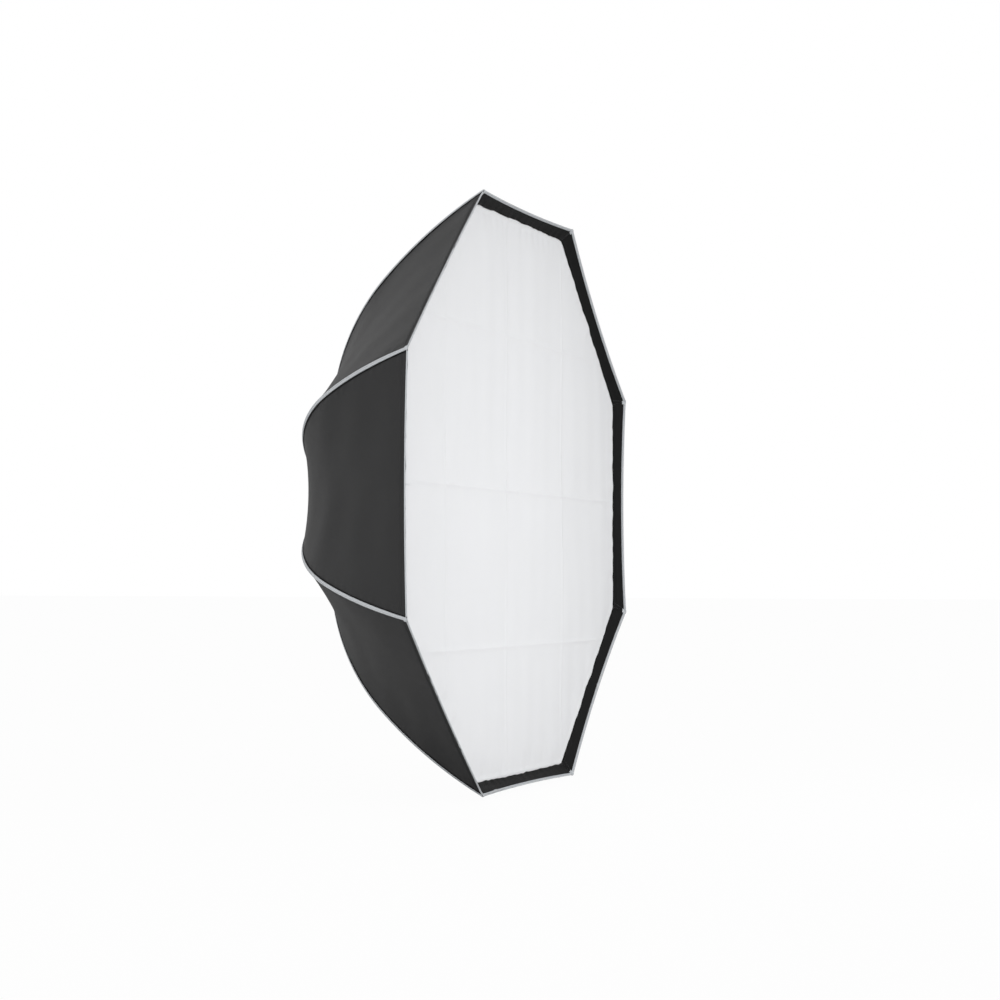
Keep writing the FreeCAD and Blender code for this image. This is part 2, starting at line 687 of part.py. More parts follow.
def strut_clip():
    """Clip on the rod with two cheeks for the strut, and its pin."""
    along = "Derived.clip_along"
    below = "Derived.clip_below"
    sleeve = solid("Cylinder", "clip_sleeve",
                   root_frame(f"{along} - Sizes.clip_half_length", turn=OUTWARD),
                   Radius="Sizes.clip_radius", Height="2 * Sizes.clip_half_length")
    pieces = [sleeve]
    for side, start in (("a", "Sizes.cheek_inner"), ("b", "-Sizes.cheek_outer")):
        corner = root_frame(f"{along} - Sizes.strut_half_width",
                            f"-{below} - Sizes.strut_half_width", start)
        pieces.append(solid("Box", "clip_cheek_" + side, corner,
                            Length="2 * Sizes.strut_half_width",
                            Width=f"{below} + Sizes.strut_half_width",
                            Height="Sizes.cheek_outer - Sizes.cheek_inner"))
    rod_bore = solid("Cylinder", "clip_rod_bore",
                     root_frame(f"{along} - 2 * Sizes.clip_half_length", turn=OUTWARD),
                     Radius="Sizes.rod_radius", Height="4 * Sizes.clip_half_length")
    pin = solid("Cylinder", "clip_pin", root_frame(along, f"-{below}", "-Sizes.cheek_outer"),
                Radius="Sizes.strut_pin_radius", Height="2 * Sizes.cheek_outer")
    return [cut("strut_clip", join("clip_blank", pieces), [rod_bore, pin]), pin]


def tip_cap():
    """Round-ended cap on the rod's tip, which sits in the canopy's corner pocket."""
    tip = on_arc("front", "Sizes.rib_inset", "Derived.tip_heading")
    heading = Rotation(Vector(0, 0, 1), number("Derived.tip_heading") - 90)
    end = at(*tip, turn=heading)
    overhang = "Sizes.cap_overhang - Sizes.cap_radius"
    tube = solid("Cylinder", "cap_tube",
                 end.multiply(at("Sizes.cap_overhang - Sizes.cap_length", turn=OUTWARD)),
                 Radius="Sizes.cap_radius", Height="Sizes.cap_length - Sizes.cap_radius")
    nose = solid("Sphere", "cap_nose", end.multiply(at(overhang)), Radius="Sizes.cap_radius")
    bore = solid("Cylinder", "cap_bore", end.multiply(at("-Sizes.cap_length", turn=OUTWARD)),
                 Radius="Sizes.rod_radius + Sizes.running_gap", Height="Sizes.cap_length")
    return cut("tip_cap", join("cap_blank", [tube, nose]), [bore])


def ribs():
    """Eight ribs, each a rod with its socket, strut clip, clip pin and tip cap."""
    pieces = [rib_rod(), rib_socket(), tip_cap()] + strut_clip()
    for index, azimuth in enumerate(RIB_AZIMUTHS, start=1):
        subpart(f"rib_{index}", pieces, azimuth)


def struts():
    """Eight flat struts from the runner's lugs to the ribs' clips."""
    tilt = Rotation(Vector(0, 0, 1), 90 - number("Sizes.strut_heading"))
    low = "-Sizes.strut_half_thick"
    thick = "2 * Sizes.strut_half_thick"

    def place(x="0", y="0", z=low):
        return at("Sizes.hinge_radius", "Derived.runner_pin", turn=tilt).multiply(at(x, y, z))

    bar = solid("Box", "strut_bar", place(y="-Sizes.strut_half_width"), Length="Sizes.strut_length",
                Width="2 * Sizes.strut_half_width", Height=thick)
    ends = [solid("Cylinder", name, place(x), Radius="Sizes.strut_half_width", Height=thick)
            for name, x in (("strut_front_end", "0"), ("strut_rear_end", "Sizes.strut_length"))]
    rib_bore = solid("Cylinder", "strut_rib_bore",
                     place("Sizes.strut_length", z="-Sizes.cheek_outer"),
                     Radius="Sizes.strut_pin_radius + Sizes.running_gap",
                     Height="2 * Sizes.cheek_outer")
    pin = solid("Cylinder", "strut_pin", place(z="-Sizes.cheek_outer"),
                Radius="Sizes.strut_pin_radius", Height="2 * Sizes.cheek_outer")
    slot = solid("Box", "strut_slot",
                 place("Sizes.strut_length / 4", "-Sizes.strut_slot_half", "-Sizes.cheek_outer"),
                 Length="Sizes.strut_length / 2", Width="2 * Sizes.strut_slot_half",
                 Height="2 * Sizes.cheek_outer")
    strut = cut("strut_cut", join("strut_blank", [bar] + ends), [rib_bore, pin, slot])
    for index, azimuth in enumerate(RIB_AZIMUTHS, start=1):
        subpart(f"strut_{index}", [strut, pin], azimuth)


def gore_limits():
    """Two boxes that bound the space between one rib's plane and the next rib's."""
    reach = "2 * Sizes.corner_radius"
    first = block("gore_limit_first", 0, ("0", f"-({reach})", "Sizes.seam_gap"),
                  (reach, "0", reach))
    second = block("gore_limit_second", 2 * HALF_GORE, ("0", f"-({reach})", f"-({reach})"),
                   (reach, "0", "-Sizes.seam_gap"))
    return [first, second]


def stretched(name, body, limits):
    """Cloth whose section is drawn in a rib's plane and drawn out straight to the next rib."""
    strip = doc.addObject("Part::Extrusion", name + "_strip")
    strip.Base = body
    strip.DirMode = "Custom"
    strip.Dir = around(HALF_GORE).multVec(Vector(0, 0, 1))
    strip.setExpression("LengthFwd", "2 * Sizes.corner_radius * tan(Sizes.half_gore)")
    strip.Solid = True
    return overlap(name, [strip] + limits)


def plain_section(name, start, edges):
    """A closed sketch in the XY plane of a rib."""
    sketch = doc.addObject("Sketcher::SketchObject", name)
    draw(sketch, start, edges, closed=True)
    return sketch


def seam_end(inset):
    """The canopy's rear edge on a line parallel to its outer seam line."""
    run = f"(Derived.rear_centre + (Sizes.rear_arc_radius - {inset}) * cos(Sizes.root_heading)"
    drop = f"{run} - Sizes.canopy_root_radius) / tan(Sizes.root_heading)"
    foot = on_arc("rear", inset, "Sizes.root_heading")[1]
    return ("Sizes.canopy_root_radius", f"{foot} + {drop}")


def canopy(limits):
    """Eight gores, each with its strip of the recessed lip behind the rim."""
    thick = "Sizes.fabric_thick"
    outer = section_path("0", 1)
    inner = section_path(thick, -1)
    shell = plain_section("gore_section", on_arc("front", "0", "Sizes.rim_heading"),
                          outer + [seam_end("0"), seam_end(thick)] + inner)
    rim_x, rim_y = on_arc("front", "0", "Sizes.rim_heading")

    def lip_point(distance, depth):
        return (f"{rim_x} - {distance} * sin(Sizes.lip_heading) + {depth} * cos(Sizes.lip_heading)",
                f"{rim_y} + {distance} * cos(Sizes.lip_heading) + {depth} * sin(Sizes.lip_heading)")

    corners = [lip_point("Sizes.lip_start", "0"), lip_point("Sizes.lip_width", "0"),
               lip_point("Sizes.lip_width", "Sizes.lip_thick"),
               lip_point("Sizes.lip_start", "Sizes.lip_thick")]
    lip = plain_section("lip_section", corners[0], corners[1:] + corners[:1])
    pieces = [stretched("gore", shell, limits), stretched("lip_strip", lip, limits)]
    for index, azimuth in enumerate(RIB_AZIMUTHS, start=1):
        subpart(f"canopy_panel_{index}", pieces, azimuth)


def section_path(inset, turn):
    """The two arcs of a seam line, towards the lamp for turn 1 and back for -1."""
    rim = on_arc("front", inset, "Sizes.rim_heading")
    middle = on_arc("front", inset, "Derived.joint_heading")
    root = on_arc("rear", inset, "Sizes.root_heading")
    front = (arc_centre("front"), f"Sizes.front_arc_radius - {inset}", turn)
    rear = (arc_centre("rear"), f"Sizes.rear_arc_radius - {inset}", turn)
    if turn > 0:
        return [(middle, *front), (root, *rear)]
    return [root, (middle, *rear), (rim, *front)]


def octagon_cloth(kind, limits, depth, corner):
    """A flat octagon of cloth in eight sectors."""
    half = "Sizes.corner_radius / 2"
    plate = block(kind + "_plate", HALF_GORE, ("0", f"Derived.rim + {depth}", f"-{half}"),
                  (f"{corner} * cos(Sizes.half_gore)",
                   f"Derived.rim + {depth} + Sizes.cloth_thick", half))
    sector = overlap(kind + "_piece", [plate] + limits)
    for index, azimuth in enumerate(RIB_AZIMUTHS, start=1):
        subpart(f"{kind}_sector_{index}", [sector], azimuth)


def corner_tab(name, inner, outer, depth):
    """A small webbing tab at a corner."""
    return block(name + "_piece", 0, (inner, depth, "-Sizes.tab_half_width"),
                 (outer, f"{depth} + Sizes.tab_thick", "Sizes.tab_half_width"))


def cloths(limits):
    """The front diffuser and the inner baffle."""
    octagon_cloth("diffuser", limits, "Sizes.diffuser_depth", "Sizes.diffuser_corner")
    octagon_cloth("baffle", limits, "Sizes.baffle_depth", "Sizes.baffle_corner")
    behind = "Derived.rim + Sizes.diffuser_depth + Sizes.cloth_thick + Sizes.tab_gap"
    tab = corner_tab("diffuser_tab", "Sizes.diffuser_tab_inner", "Sizes.diffuser_tab_outer", behind)
    strap = corner_tab("baffle_strap", "Sizes.strap_inner", "Sizes.strap_outer",
                       "Derived.rim + Sizes.baffle_depth")
    for index in range(1, RIB_COUNT, 2):
        subpart(f"diffuser_tab_{index}", [tab], RIB_AZIMUTHS[index - 1])
        subpart(f"baffle_strap_{index}", [strap], RIB_AZIMUTHS[index - 1])


def canopy_collar():
    """Elastic collar that closes the canopy's rear edge against the housing."""
    subpart("canopy_collar", [ring("collar_turned", [
        ("Sizes.sleeve_inner", "-Sizes.sleeve_front"),
        ("Sizes.sleeve_outer - Sizes.sleeve_chamfer", "-Sizes.sleeve_front"),
        ("Sizes.sleeve_outer", "-Sizes.sleeve_front + Sizes.sleeve_chamfer"),
        ("Sizes.sleeve_outer", "-Sizes.sleeve_rear"),
        ("Sizes.sleeve_inner", "-Sizes.sleeve_rear"),
    ])])


def check_document():
    """Stop if any object failed or any sub-part has no sound shape."""
    doc.recompute()
    failed = [item.Name for item in doc.Objects if {"Invalid", "Error"} & set(item.State)]
    unsound = [label for label, item in SUBPARTS.items()
               if item.Shape.isNull() or not item.Shape.isValid() or not item.Shape.Solids]
    if failed or unsound:
        raise RuntimeError(f"failed objects {failed}, unsound sub-parts {unsound}")


def write_parts():
    """Write every sub-part to a file with its label as the name."""
    os.makedirs("parts", exist_ok=True)
    for label, item in SUBPARTS.items():
        item.Shape.exportStep(os.path.join("parts", label + ".step"))
        print(label, len(item.Shape.Solids), round(item.Shape.Volume))


screw_blanks = screws()
bayonet_ring(screw_blanks)
speedring_housing(screw_blanks)
rib_hinge_ring(screw_blanks)
guides(screw_blanks)
runner_ring()
release_buttons()
canopy_collar()
ribs()
struts()
gore_bounds = gore_limits()
canopy(gore_bounds)
cloths(gore_bounds)
check_document()
write_parts()
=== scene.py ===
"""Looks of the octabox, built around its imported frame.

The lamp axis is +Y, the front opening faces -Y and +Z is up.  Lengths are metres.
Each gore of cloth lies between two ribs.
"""
import math
import bpy
import numpy as np
from mathutils import Matrix, Vector


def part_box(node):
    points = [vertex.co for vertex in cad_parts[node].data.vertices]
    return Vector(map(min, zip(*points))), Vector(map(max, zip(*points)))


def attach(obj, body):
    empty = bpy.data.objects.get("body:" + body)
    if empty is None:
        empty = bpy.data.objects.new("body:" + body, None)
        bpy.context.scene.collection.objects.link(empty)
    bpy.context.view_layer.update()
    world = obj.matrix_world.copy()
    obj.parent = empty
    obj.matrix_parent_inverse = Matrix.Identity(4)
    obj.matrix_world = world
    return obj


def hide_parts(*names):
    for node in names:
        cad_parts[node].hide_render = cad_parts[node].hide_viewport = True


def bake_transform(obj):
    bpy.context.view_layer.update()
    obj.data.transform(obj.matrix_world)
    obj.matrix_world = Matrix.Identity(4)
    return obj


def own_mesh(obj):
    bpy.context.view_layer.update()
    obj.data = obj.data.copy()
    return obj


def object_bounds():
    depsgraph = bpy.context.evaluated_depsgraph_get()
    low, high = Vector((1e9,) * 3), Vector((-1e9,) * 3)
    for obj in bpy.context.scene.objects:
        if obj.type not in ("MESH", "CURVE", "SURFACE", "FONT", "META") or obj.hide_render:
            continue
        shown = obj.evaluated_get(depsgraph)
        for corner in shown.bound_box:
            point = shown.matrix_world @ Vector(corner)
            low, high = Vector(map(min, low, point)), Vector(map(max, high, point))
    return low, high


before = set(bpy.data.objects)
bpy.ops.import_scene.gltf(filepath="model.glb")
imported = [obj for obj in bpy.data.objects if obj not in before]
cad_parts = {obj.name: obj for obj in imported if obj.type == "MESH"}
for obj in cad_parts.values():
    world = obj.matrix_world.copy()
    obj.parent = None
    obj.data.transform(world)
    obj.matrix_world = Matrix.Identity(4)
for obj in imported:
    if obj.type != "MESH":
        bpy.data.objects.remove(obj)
CAD_LOW, CAD_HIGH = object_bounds()

MM = 0.001
RIBS = 8
GORE_ANGLE = math.radians(360 / RIBS)
HALF = GORE_ANGLE / 2
AZIMUTHS = [HALF + GORE_ANGLE * i for i in range(RIBS)]

# Places read from the frame.
RIM_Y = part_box("canopy_panel_1")[0].y
CORNER = CAD_HIGH.x / math.cos(HALF)
DIFFUSER_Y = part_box("diffuser_sector_1")[0].y
BAFFLE_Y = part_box("baffle_sector_1")[0].y
BAFFLE_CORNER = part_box("baffle_sector_8")[1].x / math.cos(HALF)

# Seam line along a rib: two arcs and a straight root.
RIM_HEADING = math.radians(26.39)
FRONT_RADIUS = 1.3635
FRONT_SWEEP = math.radians(14.73)
REAR_RADIUS = 0.6445
ROOT_HEADING = math.radians(79)
REAR_EDGE_RADIUS = 0.112
FRONT_LENGTH = FRONT_RADIUS * FRONT_SWEEP
REAR_LENGTH = REAR_RADIUS * (ROOT_HEADING - RIM_HEADING - FRONT_SWEEP)

# Recessed lip inside the rim.
LIP_HEADING = math.radians(47.1)
LIP_WIDTH = 0.0382
CORNER_CUT = 0.006
CORNER_REACH = 0.030

# Direction that points out of the rim's edge, half-way between the canopy and the lip.
OUT_HEADING = (RIM_HEADING + LIP_HEADING) / 2
RIM_OUT = np.array([math.sin(OUT_HEADING), -math.cos(OUT_HEADING)])


def seam(distance):
    """Radius, depth behind the rim and heading of the seam line at a distance from the rim."""
    s = np.asarray(distance, float)
    joint = RIM_HEADING + FRONT_SWEEP
    front_centre = np.array([CORNER - FRONT_RADIUS * math.cos(RIM_HEADING),
                             -FRONT_RADIUS * math.sin(RIM_HEADING)])
    step = FRONT_RADIUS - REAR_RADIUS
    rear_centre = front_centre + step * np.array([math.cos(joint), math.sin(joint)])
    front = RIM_HEADING + s / FRONT_RADIUS
    rear = np.minimum(joint + (s - FRONT_LENGTH) / REAR_RADIUS, ROOT_HEADING)
    heading = np.where(s < FRONT_LENGTH, front, rear)
    radius = np.where(s < FRONT_LENGTH, FRONT_RADIUS, REAR_RADIUS)
    x = np.where(s < FRONT_LENGTH, front_centre[0], rear_centre[0]) + radius * np.cos(heading)
    depth = np.where(s < FRONT_LENGTH, front_centre[1], rear_centre[1]) + radius * np.sin(heading)
    root = np.maximum(s - FRONT_LENGTH - REAR_LENGTH, 0)
    return x - root * math.sin(ROOT_HEADING), depth + root * math.cos(ROOT_HEADING), heading


ROOT_START = float(seam(FRONT_LENGTH + REAR_LENGTH)[0])
SEAM_LENGTH = FRONT_LENGTH + REAR_LENGTH + (ROOT_START - REAR_EDGE_RADIUS) / math.sin(ROOT_HEADING)


def waves(x, y, length, seed, count=8):
    """Smooth unevenness between about -1 and 1, from a few plane waves."""
    rng = np.random.default_rng(seed)
    total = np.zeros(np.broadcast(x, y).shape)
    for _ in range(count):
        turn, phase = rng.uniform(0, 2 * math.pi, 2)
        scale = 2 * math.pi / (length * rng.uniform(0.7, 1.5))
        total = total + np.sin(scale * (x * math.cos(turn) + y * math.sin(turn)) + phase)
    return total / math.sqrt(count)


def place(azimuth, radius, y, side=0.0):
    """World points at a radius and a sideways distance in the plane of an azimuth."""
    c, s = math.cos(azimuth), math.sin(azimuth)
    return np.stack(np.broadcast_arrays(radius * c - side * s, y, radius * s + side * c), axis=-1)


# ---------------------------------------------------------------- meshes

def cloth_coords(along, across):
    """Cloth coordinates in metres for a grid of points."""
    return np.stack(np.broadcast_arrays(along, across), axis=-1)


def section(outline):
    """The two measures of a cross-section's points, in metres from millimetres, as rows."""
    across, height = np.array(outline, float).T
    return across[None, :] * MM, height[None, :] * MM


def grid_mesh(name, points, coords=None, wrap=False, caps=False):
    """A sheet of quads through a grid of points, with coords in metres as its UV map."""
    rows, columns = points.shape[:2]
    faces = []
    for i in range(rows - 1):
        for j in range(columns if wrap else columns - 1):
            k = (j + 1) % columns
            faces.append((i * columns + j, (i + 1) * columns + j,
                          (i + 1) * columns + k, i * columns + k))
    if caps:
        faces.append(tuple(range(columns)))
        faces.append(tuple((rows - 1) * columns + j for j in range(columns))[::-1])
    return make_object(name, points.reshape(-1, 3), faces,
                       None if coords is None else coords.reshape(-1, 2))


def make_object(name, points, faces, coords=None):
    """A smooth-shaded mesh object, linked to the scene."""
    mesh = bpy.data.meshes.new(name)
    mesh.from_pydata([tuple(p) for p in points], [], faces)
    if coords is not None:
        layer = mesh.uv_layers.new(name="cloth")
        layer.data.foreach_set("uv", coords[loop_vertices(mesh)].astype(np.float32).ravel())
    mesh.polygons.foreach_set("use_smooth", [True] * len(mesh.polygons))
    mesh.update()
    return add_object(name, mesh)


def add_object(name, data):
    """A new object in the scene."""
    item = bpy.data.objects.new(name, data)
    bpy.context.scene.collection.objects.link(item)
    return item


def loop_vertices(mesh):
    """The vertex used by each corner of each face."""
    loops = np.zeros(len(mesh.loops), np.int32)
    mesh.loops.foreach_get("vertex_index", loops)
    return loops


def vertex_places(mesh):
    """The place of each vertex, one row each."""
    places = np.zeros(len(mesh.vertices) * 3)
    mesh.vertices.foreach_get("co", places)
    return places.reshape(-1, 3)


def paint(piece, *materials):
    """Give a piece its materials in slot order."""
    for material in materials:
        piece.data.materials.append(material)
    return piece


def thicken(piece, thickness, inner=0):
    """Give a sheet its real thickness inwards; the inner face may use a later material slot."""
    shell = piece.modifiers.new("thickness", "SOLIDIFY")
    shell.thickness = thickness
    shell.offset = -1.0
    shell.material_offset = inner


def stretch(piece):
    """Cloth between two bodies: its placement is baked into its mesh."""
    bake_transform(piece)


def follow_gore(piece, index):
    """Bake a piece of gore index into place; how far round it lies from the gore's middle is worked out
    but not used.
    """
    places = vertex_places(piece.data)
    angle = np.arctan2(places[:, 2], places[:, 0]) - AZIMUTHS[index]
    angle = (angle + math.pi) % (2 * math.pi) - math.pi
    stretch(piece)


def sew(piece, material, index):
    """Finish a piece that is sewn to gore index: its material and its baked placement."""
    paint(piece, material)
    follow_gore(piece, index)


# ---------------------------------------------------------------- materials

def new_material(name, colour, roughness, metallic=0.0, **inputs):
    """A principled material, returned with its node tree and shader."""
    material = bpy.data.materials.new(name)
    material.use_nodes = True
    tree = material.node_tree
    shader = tree.nodes["Principled BSDF"]
    shader.inputs["Base Color"].default_value = (*colour, 1)
    shader.inputs["Roughness"].default_value = roughness
    shader.inputs["Metallic"].default_value = metallic
    for key, value in inputs.items():
        shader.inputs[key.replace("_", " ")].default_value = value
    return material, tree, shader


def node(tree, kind, values=None, **settings):
    """A shader node with its settings and input values."""
    item = tree.nodes.new("ShaderNode" + kind)
    for key, value in settings.items():
        setattr(item, key, value)
    for key, value in (values or {}).items():
        item.inputs[key].default_value = value
    return item


def feed(tree, value, socket):
    """Set an input to a number or link it to an output."""
    if isinstance(value, (int, float)):
        socket.default_value = value
    else:
        tree.links.new(value, socket)


def math_node(tree, operation, first, second=0):
    """A math node fed by outputs or numbers."""
    item = node(tree, "Math", operation=operation)
    feed(tree, first, item.inputs[0])
    feed(tree, second, item.inputs[1])
    return item.outputs[0]


def sine(tree, along, wavelength):
    """A sine wave along one coordinate."""
    return math_node(tree, "SINE", math_node(tree, "MULTIPLY", along, 2 * math.pi / wavelength))


def cloth_axes(tree):
    """The two cloth coordinates of a piece, in metres."""
    coords = node(tree, "UVMap", uv_map="cloth")
    split = node(tree, "SeparateXYZ")
    tree.links.new(coords.outputs["UV"], split.inputs[0])
    return split.outputs["X"], split.outputs["Y"]


def pattern(tree, kind, vector=None, **values):
    """A procedural texture in the object's own space, or in the space of another vector."""
    item = node(tree, "Tex" + kind, values)
    if vector is None:
        vector = node(tree, "TexCoord").outputs["Object"]
    tree.links.new(vector, item.inputs["Vector"])
    return item


def bump(tree, shader, height, strength, distance):
    """Relief of a surface from a height."""
    item = node(tree, "Bump", {"Strength": strength, "Distance": distance})
    tree.links.new(height, item.inputs["Height"])
    tree.links.new(item.outputs["Normal"], shader.inputs["Normal"])
    return item


def scale_colour(tree, shader, colour, factor):
    """Base colour scaled up and down by a factor."""
    tint = node(tree, "VectorMath", operation="SCALE")
    tint.inputs[0].default_value = colour
    tree.links.new(factor, tint.inputs["Scale"])
    tree.links.new(tint.outputs["Vector"], shader.inputs["Base Color"])
    return tint.outputs["Vector"]


def mix_shaders(tree, share, first, second):
    """Mix of two shaders; share says how much of the second."""
    item = node(tree, "MixShader")
    feed(tree, share, item.inputs[0])
    tree.links.new(first, item.inputs[1])
    tree.links.new(second, item.inputs[2])
    return item.outputs[0]


def mottle(tree, shader, colour, amount, scale):
    """Uneven colour: the base colour scaled up and down by noise."""
    noise = pattern(tree, "Noise", Scale=scale, Detail=4.0)
    ramp = node(tree, "MapRange", {"To Min": 1 - amount, "To Max": 1 + amount})
    tree.links.new(noise.outputs["Fac"], ramp.inputs["Value"])
    return scale_colour(tree, shader, colour, ramp.outputs["Result"])


def weave(tree, shader, thread, strength, distance):
    """Plain weave: two crossed sets of threads in the cloth's own coordinates."""
    warp, weft = (sine(tree, axis, thread) for axis in cloth_axes(tree))
    bump(tree, shader, math_node(tree, "MULTIPLY", warp, weft), strength, distance)


def cloth_material(name, colour, roughness, thread, sheen, gloss=0.2, mottling=0.12, scale=9.0):
    """Woven cloth with uneven colour, sheen and thread bump."""
    material, tree, shader = new_material(
        name, colour, roughness, Sheen_Weight=sheen, Sheen_Roughness=0.35, Specular_IOR_Level=gloss)
    mottle(tree, shader, colour, mottling, scale)
    weave(tree, shader, thread, 0.35, 0.15 * MM)
    return material


TAPE_SLANT = 0.6
TAPE_RIB_PITCH = 2.2 * MM


def tape_material():
    """Light grey grosgrain tape: slanted ribs across a narrow tape, painted lighter on their crests and
    darker in their grooves.
    """
    colour = (0.49, 0.51, 0.53)
    material, tree, shader = new_material("grosgrain_tape", colour, 0.55, Sheen_Weight=0.15)
    length, width = cloth_axes(tree)
    slanted = math_node(tree, "ADD", length, math_node(tree, "MULTIPLY", width, TAPE_SLANT))
    ribs = sine(tree, slanted, TAPE_RIB_PITCH)
    # Painted highlight on the ribs' crests and painted shade in their grooves, in step with the bump.
    shade = node(tree, "MapRange", {"From Min": -1, "From Max": 1, "To Min": 0.8, "To Max": 1.1})
    tree.links.new(ribs, shade.inputs["Value"])
    scale_colour(tree, shader, colour, shade.outputs["Result"])
    bump(tree, shader, ribs, 0.6, 0.3 * MM)
    return material


def diffuser_material(name, colour, through):
    """White cloth that lets some light through, with a faint weave."""
    material, tree, shader = new_material(name, colour, 0.85, Sheen_Weight=0.1)
    tint = mottle(tree, shader, colour, 0.012, 4.0)
    weave(tree, shader, 0.9 * MM, 0.2, 0.1 * MM)
    glow = node(tree, "BsdfTranslucent")
    tree.links.new(tint, glow.inputs["Color"])
    surface = mix_shaders(tree, through, shader.outputs[0], glow.outputs[0])
    tree.links.new(surface, tree.nodes["Material Output"].inputs["Surface"])
    return material


def metal_material(name, colour, roughness, metallic=1.0, streak=0.0, edge=0.35 * MM):
    """Worn metal: rounded highlights on edges, uneven gloss and turned streaks."""
    material, tree, shader = new_material(name, colour, roughness, metallic)
    mottle(tree, shader, colour, 0.1, 60.0)
    drawn_out = node(tree, "Mapping", {"Scale": (1, 1 + 60 * streak, 1)})
    tree.links.new(node(tree, "TexCoord").outputs["Object"], drawn_out.inputs["Vector"])
    noise = pattern(tree, "Noise", drawn_out.outputs["Vector"], Scale=90.0, Detail=3.0)
    gloss = node(tree, "MapRange", {"To Min": roughness * 0.8, "To Max": roughness * 1.25})
    tree.links.new(noise.outputs["Fac"], gloss.inputs["Value"])
    tree.links.new(gloss.outputs["Result"], shader.inputs["Roughness"])
    bevel = node(tree, "Bevel", {"Radius": edge}, samples=4)
    relief = bump(tree, shader, noise.outputs["Fac"], 0.15, 0.05 * MM)
    tree.links.new(bevel.outputs["Normal"], relief.inputs["Normal"])
    return material


def silver_material():
    """Silver lining: a coated cloth with a pebbled, part-metallic face."""
    colour = (0.62, 0.63, 0.64)
    material, tree, shader = new_material("silver_lining", colour, 0.38, 0.75)
    pebbles = pattern(tree, "Voronoi", Scale=500.0)
    bump(tree, shader, pebbles.outputs["Distance"], 0.5, 0.3 * MM)
    return material


CANOPY = cloth_material("canopy_cloth", (0.024, 0.024, 0.0245), 0.5, 1.1 * MM, 0.04, 0.13)
# Darker than the canopy cloth: partly the seams' own black cloth, partly painted shade along the rib
# tapes' edges.
SEAM_CLOTH_AND_SHADE = cloth_material("seam_cloth_and_shade", (0.007, 0.007, 0.007), 0.7, 1.0 * MM, 0.03, 0.1)
LIP_CLOTH = cloth_material("lip_cloth", (0.006, 0.006, 0.006), 0.65, 1.3 * MM, 0.035, 0.11, 0.2, 30.0)
WEBBING = cloth_material("webbing", (0.010, 0.010, 0.011), 0.75, 1.6 * MM, 0.1)
ELASTIC = cloth_material("collar_elastic", (0.009, 0.009, 0.010), 0.8, 1.4 * MM, 0.12)
THREAD = cloth_material("thread_dark", (0.03, 0.03, 0.032), 0.6, 0.4 * MM, 0.1)
GREY_THREAD = cloth_material("thread_grey", (0.33, 0.34, 0.36), 0.6, 0.4 * MM, 0.1)
DART_THREAD = cloth_material("thread_mid", (0.10, 0.10, 0.105), 0.6, 0.4 * MM, 0.1)
TAPE = tape_material()
DIFFUSER = diffuser_material("diffuser_cloth", (0.80, 0.806, 0.82), 0.12)
BAFFLE = diffuser_material("baffle_cloth", (0.76, 0.77, 0.78), 0.3)
SILVER = silver_material()
HUB_METAL = metal_material("hub_anodised", (0.022, 0.022, 0.024), 0.42, 0.6)
HUB_PLASTIC = metal_material("hub_moulded", (0.02, 0.02, 0.021), 0.5, 0.0, edge=0.6 * MM)
BAYONET_METAL = metal_material("bayonet_machined", (0.62, 0.62, 0.63), 0.28, streak=1.0)
ROD_STEEL = metal_material("rod_steel", (0.42, 0.42, 0.43), 0.3, streak=0.5)
STRUT_STEEL = metal_material("strut_steel", (0.5, 0.5, 0.51), 0.34, streak=0.3)
PIN_STEEL = metal_material("pin_steel", (0.68, 0.68, 0.69), 0.2)
BUTTON = metal_material("button_plastic", (0.42, 0.025, 0.02), 0.42, 0.0, edge=0.6 * MM)

# ---------------------------------------------------------------- canopy

SAG = 16.5 * MM
RIM_BOW_BACK = 6.5 * MM
RIM_BOW_IN = 3 * MM
RIM_BOW_REACH = 70 * MM
HEM_START = 14 * MM
HEM_END = 23 * MM


def share_of(t):
    """How far across a gore: 0 at its first rib, 1 at its second, 0.5 half-way."""
    return 4 * t * (1 - t)


def rim_bow(t, distance, reach):
    """Inward and backward pull of the rim between two corners."""
    fade = share_of(t) * np.exp(-distance / reach)
    return -RIM_BOW_IN * fade, RIM_BOW_BACK * fade


def sag_depth(s, t):
    """How far the cloth hangs inside the straight line between two ribs."""
    return SAG * np.sin(math.pi * np.clip(s / SEAM_LENGTH, 0, 1)) ** 0.9 * share_of(t)


def canopy_points(index, s, t, lift=0.0, detail=True):
    """Points of gore index at seam distance s and share t, raised by lift."""
    s, t, lift = np.broadcast_arrays(np.asarray(s, float), np.asarray(t, float), lift)
    radius, depth, heading = seam(s)
    normal = np.stack([np.cos(heading), np.sin(heading) * math.cos(HALF)], axis=-1)
    normal = normal / np.linalg.norm(normal, axis=-1, keepdims=True)
    half_width = radius * math.sin(HALF)
    side = (2 * t - 1) * half_width
    raised = lift - sag_depth(s, t)
    if detail:
        raised = raised + gore_relief(index, s, t, half_width)
    bow_in, bow_back = rim_bow(t, s, RIM_BOW_REACH)
    flat = radius * math.cos(HALF) + normal[..., 0] * raised + bow_in
    y = RIM_Y + depth + normal[..., 1] * raised + bow_back
    return place(AZIMUTHS[index] + HALF, flat, y, side)


